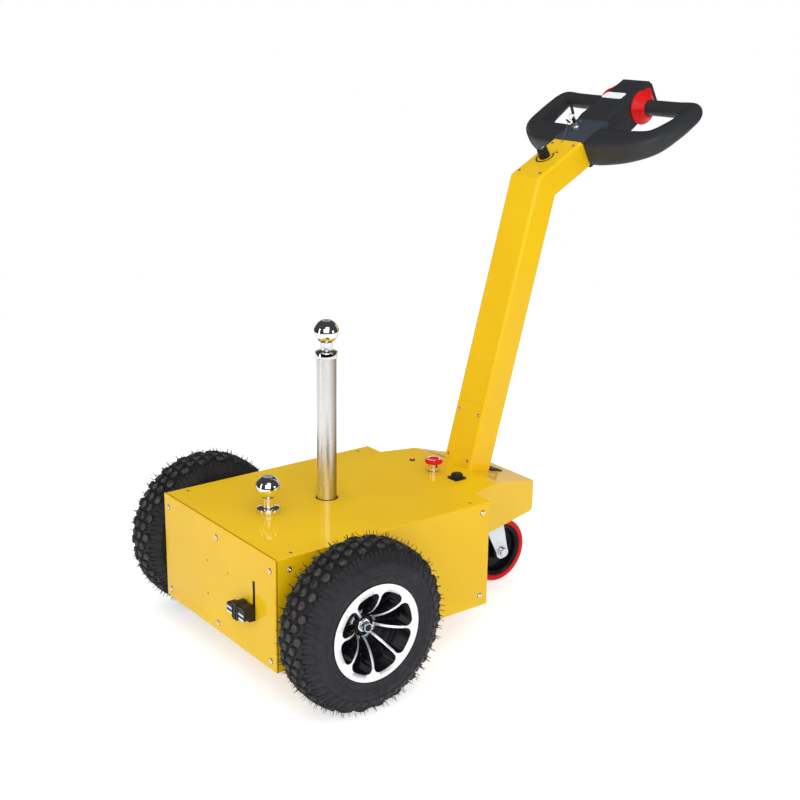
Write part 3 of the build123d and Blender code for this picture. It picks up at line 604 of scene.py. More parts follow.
def addTyre(side, materials):
    v = tyreSizes
    node = "tyre_" + side
    low, high = boxOf(node)
    centre = (low + high) / 2
    half = (high.x - low.x) / 2
    crown = (high.z - low.z) / 2 - v["lug"] - 0.0003
    bm = bmesh.new()
    wall = tyreOutline(half, crown)
    outline = [(-x, r) for x, r in wall] + [(x, r) for x, r in reversed(wall[:-1])]
    verts = [bm.verts.new((x, 0, r)) for x, r in outline]
    edges = [bm.edges.new(pair) for pair in zip(verts, verts[1:] + verts[:1])]
    bmesh.ops.spin(bm, geom=verts + edges, cent=(0, 0, 0), axis=(1, 0, 0), steps=144, angle=math.tau,
                   use_merge=True)
    bmesh.ops.recalc_face_normals(bm, faces=bm.faces)

    block = hexBlock()
    pitch = math.tau / v["pitches"]
    places = []
    for row in range(v["rows"]):
        across = (row - (v["rows"] - 1) / 2) * v["rowAcross"]
        radius, tilt = crownPlace(across, half, crown)
        for number in range(v["pitches"]):
            turn = Matrix.Rotation((number + (row % 2) / 2) * pitch, 4, "X")
            onCrown = Matrix.Translation((across, 0, radius)) @ Matrix.Rotation(tilt, 4, "Y")
            places.append(turn @ onCrown)
            stamp(bm, block, places[-1])
    for kind in ("ribs", "pads"):
        first, last, nearWidth, farWidth, nearHeight, farHeight, shift = v[kind]
        nearRadius, farRadius = (crownPlace(across, half, crown)[0] for across in (first, last))
        run = math.hypot(last - first, nearRadius - farRadius)
        fall = math.atan2(nearRadius - farRadius, last - first)
        bar = shoulderBar(run, nearWidth, farWidth, nearHeight + v["barSink"], farHeight + v["barSink"])
        onShoulder = Matrix.Translation((first, 0, nearRadius)) @ Matrix.Rotation(fall, 4, "Y")
        for mirrorSign in (1, -1):
            for number in range(v["bars"]):
                turn = Matrix.Rotation((number + shift) * math.tau / v["bars"], 4, "X")
                place = turn @ Matrix.Scale(mirrorSign, 4, (1, 0, 0)) @ onShoulder
                stamp(bm, bar, place)
                if kind == "ribs":
                    places.append(place)
    draw = random.Random(11)
    along, across, sunk = v["hairFoot"]
    margin = v["boxMargin"]
    for place in places:
        for count in range(2 if draw.random() < v["twoHairs"] else 1):
            length = draw.uniform(*v["hairLength"])
            strand = hair(length, draw.uniform(-1, 1) * v["hairLean"], draw.uniform(0, math.tau))
            foot = Matrix.Translation((draw.uniform(-along, along), draw.uniform(-across, across),
                                       v["lug"] - sunk))
            tip = centre + (place @ foot @ Vector((0, 0, length)))
            if (tip.z > margin and cadLow[1] + margin < tip.y < cadHigh[1]
                    and abs(tip.x) < cadHigh[0] - margin):
                stamp(bm, strand, place @ foot)
            bpy.data.meshes.remove(strand)
    bmesh.ops.translate(bm, vec=centre, verts=bm.verts)
    piece = newPiece("knobbly_tyre_" + side, bm, bodyOf(node), materials, 40)
    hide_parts(node)


def addTyres():
    rubber, lighterTop = named("tyreRubber"), named("lighterTopRubber")
    for side in ("right", "left"):
        addTyre(side, (rubber, lighterTop))


# Rims: a copy of each casting with its machined face bright and everything behind it black

def addRims():
    v = {"ringInner": 0.082, "hubRadius": 0.022, "domeDrop": 0.044, "domeCurve": 1.6, "face": 0.0495,
         "depth": 0.012, "facing": 0.35}
    for side in ("right", "left"):
        node = "rim_" + side
        low, high = boxOf(node)
        centre = (low + high) / 2
        materials = (blackEnamel("dish_" + side, centre), named("machinedAlloy"))
        sign = 1 if side == "right" else -1
        bm = bmesh.new()
        bm.from_mesh(nodes[node].data)
        bmesh.ops.remove_doubles(bm, verts=bm.verts, dist=0.00002)
        for face in bm.faces:
            middle = face.calc_center_median() - centre
            radius = math.hypot(middle.y, middle.z)
            share = max(0, (v["ringInner"] - radius) / (v["ringInner"] - v["hubRadius"]))
            behind = v["face"] - sign * middle.x - v["domeDrop"] * share ** v["domeCurve"]
            bright = (behind < v["depth"] and sign * face.normal.x > v["facing"]
                      and radius > v["hubRadius"])
            face.material_index = 1 if bright else 0
        piece = newPiece("two_tone_rim_" + side, bm, bodyOf(node), materials, 30)
        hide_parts(node)


# Wheel ends: washer, lock nut with its nylon ring

def addWheelNuts(made):
    v = {"washer": 0.0132, "washerThick": 0.0022, "washerHole": 0.0085, "acrossFlats": 0.019,
         "hexTop": 0.0095,
         "collar": 0.0093, "top": 0.0162, "ringOuter": 0.0075, "stud": 0.0061, "chamfer": 0.0009,
         "lip": 0.0012, "edge": 0.0004}
    washer = turned([(v["washerHole"], 0), (v["washer"] - v["edge"], 0), (v["washer"], v["edge"]),
                     (v["washer"], v["washerThick"] - v["edge"]), (v["washer"] - 0.0006, v["washerThick"]),
                     (v["washerHole"], v["washerThick"])])
    hexRadius = v["acrossFlats"] / 2 / math.cos(math.pi / 6)
    hexPart = hexHead(hexRadius, v["hexTop"] - v["washerThick"], v["chamfer"], v["washerThick"])
    shoulder = v["top"] - v["lip"]
    collar = turned([(v["collar"], v["hexTop"] - 0.001), (v["collar"], shoulder),
                     (v["collar"] - 0.0008, v["top"]), (v["ringOuter"], v["top"]),
                     (v["ringOuter"], shoulder)])
    ring = turned([(v["ringOuter"], shoulder), (v["ringOuter"] - 0.0003, v["top"] - v["edge"]),
                   (v["stud"], v["top"] - v["edge"]), (v["stud"], v["top"] - 0.003)])
    for side, turnY in (("right", 90), ("left", -90)):
        node = "wheel_nut_" + side
        low, high = boxOf(node)
        face = low.x if side == "right" else high.x
        place = seat(face, (low.y + high.y) / 2, (low.z + high.z) / 2, turnY=turnY)
        bm = bmesh.new()
        for part, slot in ((washer, 0), (hexPart, 0), (collar, 0), (ring, 1)):
            stamp(bm, part, place, slot)
        piece = newPiece("lock_nut_" + side, bm, bodyOf(node), (made["bright"], made["blue"]), 30)
        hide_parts(node)


# Screws: button heads with a hexagon socket and discs of painted shade under them, joined in one piece

def buttonScrew(radius, rise):
    bm = bmesh.new()
    bmesh.ops.create_circle(bm, segments=6, radius=radius * 0.42)
    bmesh.ops.create_circle(bm, segments=24, radius=radius * 0.6)
    bmesh.ops.translate(bm, vec=(0, 0, rise), verts=bm.verts)
    loops = bm.edges[:]
    inner = [edge for edge in loops if max(vert.co.xy.length for vert in edge.verts) < radius * 0.5]
    outer = [edge for edge in loops if edge not in inner]
    bmesh.ops.bridge_loops(bm, edges=loops)
    growRing(bm, outer, ((1.35, -0.12 * rise), (1.16, -0.3 * rise), (1.06, -0.58 * rise)))
    floor = growRing(bm, inner, ((1, -0.8 * rise),))
    bmesh.ops.edgeloop_fill(bm, edges=floor)
    return outward(bm)


def flatDisc(radius):
    bm = bmesh.new()
    bmesh.ops.create_circle(bm, cap_ends=True, segments=24, radius=radius)
    return meshOf(bm)


def headFrames():  # the column's lower front face and the sloping top face, with Y along and Z outwards
    v = {"lean": 15.3, "slope": 29, "depth": 0.062, "deck": 0.305, "deckDrop": 0.00125}
    low, high = boxOf("tiller_column")
    slope = math.radians(v["slope"])
    topEnd = Vector((0, high.y - v["depth"] * math.sin(slope), high.z))
    leanFrame = seat(0, low.y, v["deck"] - v["deckDrop"], turnX=90 - v["lean"])
    slopeFrame = seat(*topEnd, turnX=v["slope"])
    return leanFrame, slopeFrame


def addScrews(made):
    v = {
        "plate": 0.0051, "plateRise": 0.0024, "deck": 0.003, "deckRise": 0.0012,
        "cover": 0.0031, "coverRise": 0.0014, "shade": 1.16, "shadeLift": 0.00012,
        "frontPlaces": [(x, z) for x in (-0.198, 0, 0.198) for z in (0.279, 0.094)],
        "sidePlaces": ((0.031, 0.281), (0.504, 0.284), (0.503, 0.098), (0.031, 0.095)),
        "deckPlaces": [(x, y) for x in (-0.198, 0.198) for y in (0.046, 0.485)],
        "footPlaces": [(x, s) for x in (-0.033, 0.033) for s in (0.0177, 0.122)],
        "topPlaces": [(x, s) for x in (-0.033, 0.033) for s in (-0.0155, -0.125)],
    }
    front = boxOf("front_plate")[0].y
    side = boxOf("side_panel_right")[1].x
    deck = boxOf("deck_plate")[1].z
    leanFrame, slopeFrame = headFrames()
    places = [("plate", seat(x, front, z, turnX=90)) for x, z in v["frontPlaces"]]
    places += [("plate", seat(side, front + y, z, turnY=90)) for y, z in v["sidePlaces"]]
    places += [("plate", seat(-side, front + y, z, turnY=-90)) for y, z in v["sidePlaces"]]
    places += [("deck", seat(x, front + y, deck)) for x, y in v["deckPlaces"]]
    places += [("cover", shifted(leanFrame, x, s, 0)) for x, s in v["footPlaces"]]
    places += [("cover", shifted(slopeFrame, x, s, 0)) for x, s in v["topPlaces"]]
    bm = bmesh.new()
    for kind in ("plate", "deck", "cover"):
        head = buttonScrew(v[kind], v[kind + "Rise"])
        # a dark brown disc under each head: painted shade round the screw
        shade = flatDisc(v[kind] * v["shade"])
        for size, place in places:
            if size == kind:
                roll = Matrix.Rotation(len(bm.verts) * 0.37, 4, "Z")
                stamp(bm, head, place @ roll, 0)
                stamp(bm, shade, shifted(place, 0, 0, v["shadeLift"]), 1)
    newPiece("button_screws", bm, "chassis", (made["bright"], made["shade"]), 30)


# Body seams: rounded copies of the sheets and an orange line of painted shade in the joint behind the front
# plate

def roundedCopy(node, name, material, width):
    v = {"angle": 50, "shortest": 0.006}
    bm = bmesh.new()
    bm.from_mesh(nodes[node].data)
    bmesh.ops.remove_doubles(bm, verts=bm.verts, dist=0.00002)
    bmesh.ops.dissolve_limit(bm, angle_limit=math.radians(1), verts=bm.verts, edges=bm.edges)
    edges = [edge for edge in bm.edges if len(edge.link_faces) == 2 and edge.calc_length() > v["shortest"]
             and edge.calc_face_angle(0) > math.radians(v["angle"])]
    roundEdges(bm, edges, width, clamp=True)
    piece = newPiece(name, bm, bodyOf(node), (material,), 12)
    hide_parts(node)


def addSeams(made):
    v = {"inset": -0.00025, "half": 0.0012, "corner": 0.0035, "edge": 0.0011}
    for node in ("front_plate", "side_panel_right", "side_panel_left", "deck_plate"):
        roundedCopy(node, "rounded_" + node, made["paint"], v["edge"])
    # a thin dark orange band in the joint behind the front plate: painted shade of the gap between the
    # plates
    low, high = boxOf("front_plate")
    bm = bmesh.new()
    bmesh.ops.create_grid(bm, x_segments=1, y_segments=1, size=0.5)
    size = (high.x - low.x - 2 * v["inset"], high.z - low.z - 2 * v["inset"], 1)
    bmesh.ops.scale(bm, vec=size, verts=bm.verts)
    bmesh.ops.bevel(bm, geom=[vert for vert in bm.verts if vert.co.y > 0], offset=v["corner"],
                    offset_type="OFFSET", segments=4, profile=0.5, affect="VERTICES", material=-1)
    ring = [edge for edge in bm.edges if edge.is_boundary]
    bmesh.ops.delete(bm, geom=bm.faces[:], context="FACES_ONLY")
    growRing(bm, ring, ((1, 2 * v["half"]),))
    place = seat(0, high.y + v["half"], (low.z + high.z) / 2, turnX=90)
    bmesh.ops.transform(bm, matrix=place, verts=bm.verts)
    newPiece("front_seam_shade", bm, "chassis", (made["seamShade"],), 30)


# Tow balls: smooth turned copies for clean reflections

def addTowBalls(made):
    v = {"ball": 0.0255, "flat": 0.023, "neck": 0.013, "base": -0.053, "spigot": 0.009, "steps": 96,
         "topEdge": 0.003, "fillet": 0.003, "flangeEdge": 0.0015}
    for node, flange, rise, label in (("tow_ball_low", 0.0235, 0.011, "polished_ball_low"),
                                      ("tow_ball_high", 0.0232, 0.0132, "polished_ball_high")):
        low, high = boxOf(node)
        centre = Vector(((low.x + high.x) / 2, (low.y + high.y) / 2, high.z - v["flat"]))
        base, bottom = v["base"], low.z - centre.z
        topTurn = math.degrees(math.asin(v["flat"] / v["ball"]))
        neckTurn = -math.degrees(math.acos(v["neck"] / v["ball"]))
        outline = [(0, v["flat"] - 0.0006), (0.0022, v["flat"] - 0.0006), (v["topEdge"], v["flat"])]
        outline += arcPoints(v["ball"], topTurn, neckTurn, 48)
        outline += arcPoints(v["fillet"], 180, 225, 4, v["neck"] + v["fillet"], base + rise + 0.004)
        outline += [(flange - 0.0025, base + rise)]
        outline += arcPoints(v["flangeEdge"], 80, 0, 3, flange - v["flangeEdge"], base + rise - 0.0022)
        outline += [(flange, base + 0.0008), (flange - 0.0008, base), (v["spigot"], base),
                    (v["spigot"], bottom), (0, bottom)]
        bm = bmesh.new()
        stamp(bm, turned(outline, v["steps"]), Matrix.Translation(centre), 0)
        # the flat top gets a pale matte grey in place of chrome: a painted reflection of the overhead light
        for face in bm.faces:
            if face.calc_center_median().z > high.z - 0.0008 and face.normal.z > 0.9:
                face.material_index = 1
        piece = newPiece(label, bm, bodyOf(node), (made["chrome"], made["topReflection"]), 32)
        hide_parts(node)


# Release lever marks: plain white stripes on its pad

def addLeverMarks(made):
    v = {"stripe": 0.0036, "lift": 0.0003, "wing": 0.0185, "wingOff": 0.0215, "wingGap": 0.0095,
         "wingHeight": 0.166, "bossLength": 0.029, "bossGap": 0.0095, "bossProud": 0.002}
    low, high = boxOf("release_lever")
    middle = (low.x + high.x) / 2
    bossHeight = (low.z + high.z) / 2 - 0.0005
    wing = roundedBox((v["wing"], v["stripe"], 2 * v["lift"]), 0.0002, 1)
    bar = roundedBox((v["stripe"], v["bossLength"], 2 * v["lift"]), 0.0002, 1)
    bm = bmesh.new()
    for row in (-0.5, 0.5):
        for x in (-v["wingOff"], v["wingOff"]):
            place = seat(middle + x, low.y + v["bossProud"], v["wingHeight"] + row * v["wingGap"], turnX=90)
            stamp(bm, wing, place)
        stamp(bm, bar, seat(middle + row * v["bossGap"], low.y + v["lift"], bossHeight, turnX=90))
    newPiece("lever_stripes", bm, bodyOf("release_lever"), (made["white"],), 30)


# A black strip on the plate over the lever slot: painted shade standing in for the slot's dark inside
def addLeverSlot(made):
    v = {"x": 0.139, "low": 0.157, "high": 0.237, "width": 0.0086}
    front = boxOf("front_plate")[0].y
    strip = roundedBox((v["width"], v["high"] - v["low"], 0.0003), 0.0001, 1)
    bm = bmesh.new()
    stamp(bm, strip, seat(v["x"], front, (v["low"] + v["high"]) / 2, turnX=90), 0)
    newPiece("lever_slot_shade", bm, "chassis", (made["inkAndShade"],), 30)


# Stop button, its bright collar and the lamp

def addDeckControls(made):
    v = {"head": 0.02, "crown": 0.012, "stem": 0.0118, "flange": 0.0135, "arc": 0.0135, "arcHalf": 0.0013,
         "arcSweep": 72, "tipTurn": 78, "tip": 0.0032}
    low, high = boxOf("stop_button")
    x, y = (low.x + high.x) / 2, (low.y + high.y) / 2
    thick = high.z - low.z
    outline = [(0, thick - 0.0008), (0.008, thick - 0.0006)]
    outline += arcPoints(v["crown"], 84, 30, 6, v["head"] - 0.0112, thick - v["crown"])
    outline += [(v["head"], thick * 0.42), (v["head"] - 0.0012, thick * 0.16), (v["head"] - 0.005, 0),
                (0, 0)]
    bm = bmesh.new()
    stamp(bm, turned(outline, 64), seat(x, y, low.z), 0)
    arc = bmesh.new()
    face = thick - 0.0003
    verts = [arc.verts.new((v["arc"] + offset, 0, face)) for offset in (-v["arcHalf"], v["arcHalf"])]
    edge = arc.edges.new(verts)
    bmesh.ops.spin(arc, geom=verts + [edge], cent=(0, 0, 0), axis=(0, 0, 1), steps=12,
                   angle=math.radians(v["arcSweep"]))
    turn = math.radians(v["tipTurn"])
    bmesh.ops.create_circle(arc, cap_ends=True, segments=3, radius=v["tip"],
                            matrix=seat(v["arc"] * math.cos(turn), v["arc"] * math.sin(turn), face,
                                        turnZ=v["tipTurn"] + 90))
    arrow = outward(arc)
    for turn in (10, 130, 250):
        stamp(bm, arrow, seat(x, y, low.z + 0.0002, turnZ=turn), 1)
    piece = newPiece("mushroom_head", bm, bodyOf("stop_button"), (made["red"], made["label"]), 30)
    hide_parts("stop_button")

    low, high = boxOf("stop_collar")
    deck = boxOf("deck_plate")[1].z
    tall = high.z - deck
    outline = [(0, low.z - deck), (0.011, low.z - deck), (0.011, 0), (v["flange"], 0), (v["flange"], 0.0035),
               (v["flange"] - 0.0008, 0.0043), (v["stem"], 0.0045), (v["stem"], tall * 0.6),
               (v["stem"] + 0.0006, tall * 0.64), (v["stem"] + 0.0006, tall * 0.76), (v["stem"], tall * 0.8),
               (v["stem"], tall), (0, tall)]
    bm = bmesh.new()
    stamp(bm, turned(outline, 64), seat(x, y, deck), 0)
    piece = newPiece("bright_collar", bm, bodyOf("stop_collar"), (made["chrome"],), 30)
    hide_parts("stop_collar")

    low, high = boxOf("warning_lamp")
    x, y = (low.x + high.x) / 2, (low.y + high.y) / 2
    bezel = turned([(0, low.z - deck), (0.0042, low.z - deck), (0.0042, 0), (0.0055, 0), (0.006, 0.0006),
                    (0.006, 0.0022), (0.0054, 0.0028), (0.0043, 0.0028), (0.0043, 0.002), (0, 0.002)], 32)
    lens = turned([(0, 0.001), (0.0041, 0.001)]
                  + arcPoints(0.0041, 0, 90, 6, 0, high.z - deck - 0.0041 - 0.0002), 32)
    bm = bmesh.new()
    stamp(bm, bezel, seat(x, y, deck), 0)
    stamp(bm, lens, seat(x, y, deck), 1)
    piece = newPiece("pilot_lamp", bm, bodyOf("warning_lamp"), (made["enamel"], made["pink"]), 30)
    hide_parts("warning_lamp")


def addGaugeWindow(made):
    v = {"slope": 14, "down": 0.0012, "lift": 0.0106, "window": (0.058, 0.018, 0.0012),
         "bar": (0.0035, 0.009, 0.0006), "bars": 6, "firstBar": -0.018, "barStep": 0.0072}
    low, high = boxOf("battery_gauge")
    middle = (low + high) / 2
    top = seat(middle.x, middle.y + v["down"], middle.z + v["lift"], turnX=-v["slope"])
    bm = bmesh.new()
    stamp(bm, roundedBox(v["window"], 0.0005), top, 0)
    bar = roundedBox(v["bar"], 0.0001, 1)
    for number in range(v["bars"]):
        stamp(bm, bar, shifted(top, v["firstBar"] + number * v["barStep"], 0, v["bar"][2]), 1)
    newPiece("gauge_window", bm, bodyOf("battery_gauge"), (made["glass"], made["grey"]), 30)


# Speed knob: ribbed skirt, grey cap, and the printed arc and mark of its scale

def addKnob(made):
    v = {"ribs": 18, "radius": 0.0128, "groove": 0.0115, "height": 0.0215, "taper": 0.9, "x": -0.008,
         "along": 0.075 - 0.142, "ringInner": 0.0178, "ringOuter": 0.0215, "lift": 0.00025, "sweep": 245,
         "sweepFrom": 170, "dash": (0.0085, 0.0034, 0.0004), "dashPlace": (0.0175, 0.0215, 0.0001)}
    place = shifted(headFrames()[1], v["x"], v["along"], 0)
    knob = bmesh.new()
    bmesh.ops.create_circle(knob, cap_ends=False, segments=v["ribs"] * 4, radius=v["radius"])
    grooves = [vert for number, vert in enumerate(knob.verts) if number % 4 == 0]
    shrink = v["groove"] / v["radius"]
    bmesh.ops.scale(knob, vec=(shrink, shrink, 1), verts=grooves)
    ring = growRing(knob, knob.edges[:], ((v["taper"], v["height"] - 0.001), (0.94, 0.001)))
    top = bmesh.ops.edgeloop_fill(knob, edges=ring)["faces"]
    bmesh.ops.inset_region(knob, faces=top, thickness=0.0022, depth=0.0008, use_even_offset=True)
    for face in top:
        face.material_index = 1
    bm = bmesh.new()
    stamp(bm, outward(knob), place)
    pointer = roundedBox((0.0014, 0.008, 0.0006), 0.0002, 1)
    stamp(bm, pointer, shifted(place, 0, 0.004, v["height"] + 0.0008), 2)
    coats = (made["black"], made["grey"], made["label"])
    piece = newPiece("ribbed_knob", bm, bodyOf("speed_knob"), coats, 30)
    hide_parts("speed_knob")

    scale = bmesh.new()
    verts = [scale.verts.new((radius, 0, v["lift"])) for radius in (v["ringInner"], v["ringOuter"])]
    edge = scale.edges.new(verts)
    bmesh.ops.spin(scale, geom=verts + [edge], cent=(0, 0, 0), axis=(0, 0, 1), steps=40,
                   angle=math.radians(v["sweep"]))
    bm = bmesh.new()
    stamp(bm, outward(scale), place @ Matrix.Rotation(math.radians(v["sweepFrom"]), 4, "Z"), 0)
    stamp(bm, roundedBox(v["dash"], 0.0001, 1), shifted(place, *v["dashPlace"]), 0)
    newPiece("knob_scale", bm, bodyOf("speed_knob"), (made["inkAndShade"],), 30)


# Key switch: barrel, a key with a black head, its ring, two fobs and a thin wire

def torus(ringRadius, wire):
    bm = bmesh.new()
    upright = seat(ringRadius, 0, 0, turnX=90)
    verts = bmesh.ops.create_circle(bm, segments=8, radius=wire, matrix=upright)["verts"]
    bmesh.ops.spin(bm, geom=verts + bm.edges[:], cent=(0, 0, 0), axis=(0, 0, 1), steps=36, angle=math.tau,
                   use_merge=True)
    bmesh.ops.remove_doubles(bm, verts=bm.verts, dist=0.00001)
    return outward(bm)


def wireMesh(points, radius):  # a round wire through places
    bm = bmesh.new()
    bmesh.ops.create_circle(bm, segments=6, radius=radius, matrix=Matrix.Translation(points[0]))
    ring = bm.edges[:]
    for start, end in zip(points, points[1:]):
        verts, ring = pullRing(bm, ring)
        bmesh.ops.translate(bm, vec=Vector(end) - Vector(start), verts=verts)
    return outward(bm)


def addKeys(made):
    v = {"x": -0.022, "along": 0.054, "barrel": 0.011, "rise": 0.006, "ring": 0.0068, "wire": 0.0006,
         "keyTurn": 25, "led": (-0.0285, 0.077, 0), "cable": 0.0009,
         "cableLine": ((-0.032, 0.046, 0.018), (-0.031, 0.037, 0.0105), (-0.026, 0.024, 0.0045),
                       (-0.019, 0.01, 0.0022), (-0.012, -0.004, 0.0012), (-0.0085, -0.0115, 0.0008))}
    slopeFrame = headFrames()[1]
    place = shifted(slopeFrame, v["x"], v["along"], 0)
    key = place @ Matrix.Rotation(math.radians(v["keyTurn"]), 4, "Z")
    barrel = turned([(0, -0.012), (0.0085, -0.012), (0.0085, 0), (v["barrel"], 0), (v["barrel"], 0.002),
                     (0.0098, 0.003), (0.0088, v["rise"]), (0.0062, v["rise"]), (0.0062, 0.0045),
                     (0, 0.0045)], 40)
    led = turned([(0, -0.003), (0.0032, -0.003), (0.0032, 0.0002), (0.0036, 0.0006), (0.003, 0.0013),
                  (0, 0.0017)], 24)
    bm = bmesh.new()
    for part, partPlace, slot in (
            (barrel, place, 0),
            (roundedBox((0.0022, 0.008, 0.009), 0.0003, 1), shifted(place, 0, 0, 0.0085), 0),
            (roundedBox((0.0032, 0.0145, 0.0115), 0.0012), shifted(key, 0, 0, 0.0185), 1),
            (torus(v["ring"], v["wire"]),
             shifted(key, -0.001, -0.003, 0.0275) @ seat(0, 0, 0, turnX=70, turnZ=60), 0),
            (roundedBox((0.0075, 0.0035, 0.021), 0.0014),
             shifted(place, -0.0085, 0.012, 0.036) @ seat(0, 0, 0, turnX=-18, turnY=-14), 1),
            (roundedBox((0.011, 0.003, 0.009), 0.001),
             shifted(place, -0.0125, -0.006, 0.017) @ seat(0, 0, 0, turnX=28, turnY=30), 1),
            (led, shifted(slopeFrame, *v["led"]), 0),
            (wireMesh(v["cableLine"], v["cable"]), slopeFrame, 2)):
        stamp(bm, part, partPlace, slot)
    piece = newPiece("key_bunch", bm, bodyOf("key_switch"), (made["zinc"], made["black"], made["grey"]), 35)
    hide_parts("key_switch")


# Blank label with rounded corners

def addLabel(made):
    v = {"length": 0.023, "thick": 0.0006, "corner": 0.0055}
    node = "label_plate"
    low, high = boxOf(node)
    slopeFrame = headFrames()[1]
    centre = slopeFrame.inverted() @ ((low + high) / 2)
    bm = bmesh.new()
    bmesh.ops.create_cube(bm, size=1)
    bmesh.ops.scale(bm, vec=(high.x - low.x, v["length"], v["thick"]), verts=bm.verts)
    upright = [edge for edge in bm.edges if abs(edge.verts[0].co.z - edge.verts[1].co.z) > v["thick"] / 2]
    roundEdges(bm, upright, v["corner"], 5)
    bmesh.ops.transform(bm, matrix=slopeFrame @ Matrix.Translation(centre), verts=bm.verts)
    piece = newPiece("blank_label", bm, bodyOf(node), (made["label"],), 30)
    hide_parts(node)


# Castor: chamfered axle nuts on their washers

def addCastorParts(made):
    v = {"nut": 0.0112, "nutThick": 0.0088, "chamfer": 0.0008, "washer": 0.0146, "washerThick": 0.0018,
         "inset": 0.0105, "nutSeat": 0.0016}
    low, high = boxOf("castor_axle")
    y, z = (low.y + high.y) / 2, (low.z + high.z) / 2
    nut = hexHead(v["nut"], v["nutThick"], v["chamfer"])
    washer = turned([(0, 0), (0.0142, 0), (v["washer"], 0.0004), (v["washer"], 0.0014),
                     (0.014, v["washerThick"]), (0, v["washerThick"])])
    bm = bmesh.new()
    for side in (1, -1):
        face = side * (high.x - v["inset"])
        stamp(bm, washer, seat(face, y, z, turnY=90 * side), 0)
        stamp(bm, nut, seat(face + side * v["nutSeat"], y, z, turnY=90 * side), 0)
    newPiece("castor_nuts", bm, bodyOf("castor_axle"), (made["bright"],), 30)


# Handle: a padded bow on each side, swept along its centre line, and the red thumb wheels on its grips

def smoothLine(points, steps):  # passes through every point, with any number of columns
    line = []
    for number in range(len(points) - 1):
        before, start, end, after = (points[max(number - 1, 0)], points[number], points[number + 1],
                                     points[min(number + 2, len(points) - 1)])
        for step in range(steps):
            u = step / steps
            line.append([0.5 * (2 * b + (c - a) * u + (2 * a - 5 * b + 4 * c - d) * u ** 2
                                + (3 * b - a - 3 * c + d) * u ** 3)
                         for a, b, c, d in zip(before, start, end, after)])
    return line + [list(points[-1])]


def addHandleLoops(made):
    v = {
        "line": (  # across, along, up, half width, half height, squareness of the section
            (0.030, 0.034, -0.0325, 0.034, 0.031, 5.0),
            (0.071, 0.0365, -0.0325, 0.036, 0.031, 4.6),
            (0.133, 0.0475, -0.0315, 0.032, 0.0285, 3.6),
            (0.1790, 0.0725, -0.0310, 0.0258, 0.0245, 2.9),
            (0.1965, 0.124, -0.0310, 0.0218, 0.0214, 2.4),
            (0.2000, 0.162, -0.0303, 0.0206, 0.0200, 2.2),
            (0.2003, 0.181, -0.0298, 0.0197, 0.0192, 2.1),
            (0.1955, 0.1935, -0.0290, 0.0186, 0.0182, 2.0),
            (0.1820, 0.1965, -0.0284, 0.0177, 0.0175, 2.0),
            (0.1450, 0.1935, -0.0281, 0.0173, 0.0173, 2.0),
            (0.0480, 0.1930, -0.0281, 0.0173, 0.0173, 2.0),
        ),
        "steps": 7,
        "around": 40,
    }
    slopeFrame = headFrames()[1]
    line = smoothLine(v["line"], v["steps"])
    for side, sign in (("right", 1), ("left", -1)):
        bm = bmesh.new()
        layer = bm.verts.layers.float.new("turn")
        bmesh.ops.create_circle(bm, cap_ends=False, segments=v["around"], radius=1)
        for vert in bm.verts:
            vert[layer] = math.atan2(vert.co.y, vert.co.x)
        ring, verts = bm.edges[:], bm.verts[:]
        for number, (x, s, t, half, tall, square) in enumerate(line):
            if number:
                verts, ring = pullRing(bm, ring)
            after, before = line[min(number + 1, len(line) - 1)], line[max(number - 1, 0)]
            heading = Vector((after[0] - before[0], after[1] - before[1], 0)).normalized()
            for vert in verts:
                across, up = math.cos(vert[layer]), math.sin(vert[layer])
                out = half * math.copysign(abs(across) ** (2 / square), across)
                rise = tall * math.copysign(abs(up) ** (2 / square), up)
                vert.co = (sign * (x + out * heading.y), s - out * heading.x, t + rise)
        ends = [edge for edge in bm.edges if edge.is_boundary]
        bmesh.ops.holes_fill(bm, edges=ends, sides=v["around"])
        bmesh.ops.recalc_face_normals(bm, faces=bm.faces)
        bmesh.ops.transform(bm, matrix=slopeFrame, verts=bm.verts)
        piece = newPiece("padded_bow_" + side, bm, "chassis", (made["head"],), 60)
        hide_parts("handle_loop_" + side)


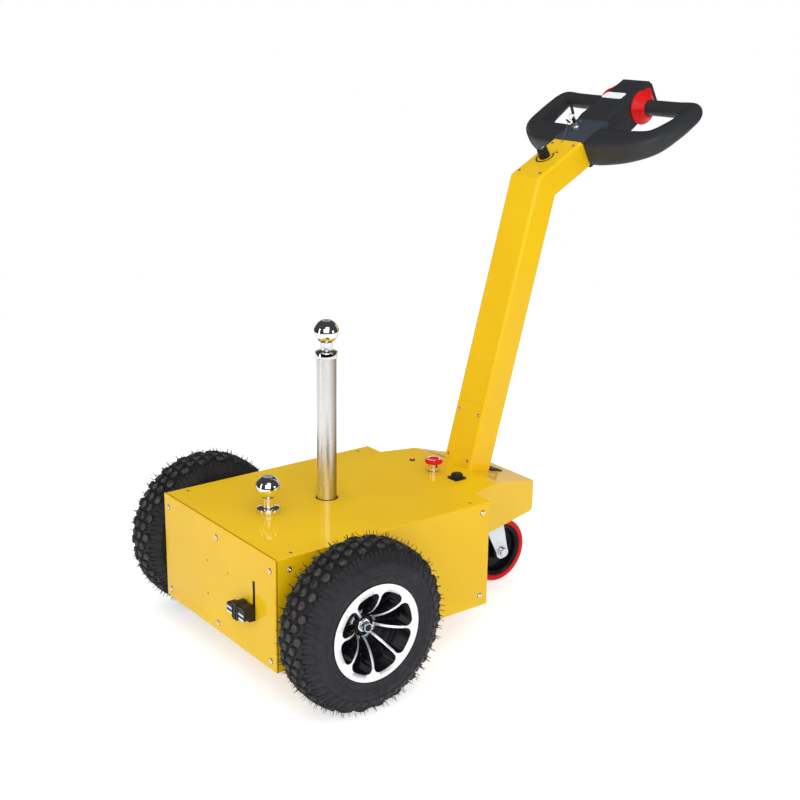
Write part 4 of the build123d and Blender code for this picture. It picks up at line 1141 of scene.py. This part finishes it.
def addThumbWheels(made):
    v = {"along": 0.193, "up": -0.0295, "start": 0.0461,
         "outline": ((0.0175, 0.0), (0.0364, 0.0), (0.0378, 0.0010), (0.0381, 0.0026), (0.0372, 0.0044),
                     (0.0350, 0.0060), (0.0290, 0.0112), (0.0242, 0.0170), (0.0210, 0.0215),
                     (0.0196, 0.0228), (0.0176, 0.0230), (0.0175, 0.0)),
         "tab": 0.0355, "lobe": 0.0085, "lobeReach": 0.0372, "lobeTurn": 39, "thick": 0.0046,
         "tabEdge": 0.001, "tabIn": 0.0006}  # the tab starts inside the wheel, clear of its flat face
    slopeFrame = headFrames()[1]
    wheel = turned(v["outline"], 96)
    tab = bmesh.new()
    turn = math.radians(v["lobeTurn"])
    reach = Vector((v["lobeReach"] * math.cos(turn), v["lobeReach"] * math.sin(turn), 0))
    bmesh.ops.create_circle(tab, segments=48, radius=v["tab"])
    bmesh.ops.create_circle(tab, segments=24, radius=v["lobe"], matrix=Matrix.Translation(reach))
    hull = bmesh.ops.convex_hull(tab, input=tab.verts)
    bmesh.ops.delete(tab, geom=vertsOf(hull["geom_interior"]), context="VERTS")
    bmesh.ops.dissolve_limit(tab, angle_limit=math.radians(1), verts=tab.verts, edges=tab.edges)
    pullFaces(tab, tab.faces[:], v["thick"])
    roundEdges(tab, [edge for edge in tab.edges if edge.calc_face_angle(0) > 1], v["tabEdge"])
    tabMesh = outward(tab)
    for side, sign in (("right", 1), ("left", -1)):
        node = "thumb_wheel_" + side
        bm = bmesh.new()
        place = shifted(slopeFrame, sign * v["start"], v["along"], v["up"])
        stamp(bm, wheel, place @ Matrix.Rotation(math.radians(90 * sign), 4, "Y"), 0)
        inPlane = Matrix(((0, 0, sign, 0), (1, 0, 0, 0), (0, 1, 0, 0), (0, 0, 0, 1)))
        stamp(bm, tabMesh, shifted(place, sign * v["tabIn"], 0, 0) @ inPlane, 0)
        piece = newPiece("red_thumb_wheel_" + side, bm, bodyOf(node), (made["red"],), 30)
        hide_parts(node)


# Castor wheel: red band on a black core with a stepped face

def addCastorWheel(made):
    v = {"inner": 0.0622, "play": 0.0015, "bevel": 0.0015, "corner": 0.0045,
         "side": ((0.0065, 0.0265), (0.0185, 0.0265), (0.02, 0.0255), (0.0215, 0.009), (0.024, 0.006),
                  (0.045, 0.005), (0.049, 0.0075), (0.0515, 0.0165), (0.053, 0.0185), (0.0565, 0.0193),
                  (0.058, 0.0203), (0.0612, 0.0203), (0.0622, 0.019))}
    low, high = boxOf("castor_tread")
    y, z = (low.y + high.y) / 2, (low.z + high.z) / 2
    outer, inner, half = (high.z - low.z) / 2 - v["play"], v["inner"], (high.x - low.x) / 2
    edge, corner = v["bevel"], v["corner"]
    band = [(inner, -half + edge), (inner + edge, -half)]
    band += arcPoints(corner, -90, 0, 5, outer - corner, -half + corner)
    band += arcPoints(corner, 0, 90, 5, outer - corner, half - corner)
    band += [(inner + edge, half), (inner, half - edge), (inner, -half + edge)]
    side = list(v["side"])
    core = side + [(radius, -height) for radius, height in reversed(side)] + [side[0]]
    turn = seat(0, y, z, turnY=90)
    for node, outline, name, material in (("castor_tread", band, "red_castor_band", made["red"]),
                                          ("castor_core", core, "stepped_castor_core", made["enamel"])):
        bm = bmesh.new()
        stamp(bm, turned(outline, 96), turn, 0)
        piece = newPiece(name, bm, bodyOf(node), (material,), 25)
        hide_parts(node)


bpy.context.scene.view_settings.view_transform = "Standard"
addCamera()
addWorld()
addFloor()
addLamps()
print("stage ready")
made = dressFrame()
print("frame dressed")
addTyres()
print("tyres made")
addRims()
addWheelNuts(made)
print("rims and nuts made")
addSeams(made)
addScrews(made)
print("seams and screws made")
addTowBalls(made)
addLeverMarks(made)
addLeverSlot(made)
addDeckControls(made)
addGaugeWindow(made)
print("deck pieces made")
addKnob(made)
addKeys(made)
addLabel(made)
addHandleLoops(made)
addThumbWheels(made)
print("head pieces made")
addCastorParts(made)
addCastorWheel(made)
print("castor parts made")
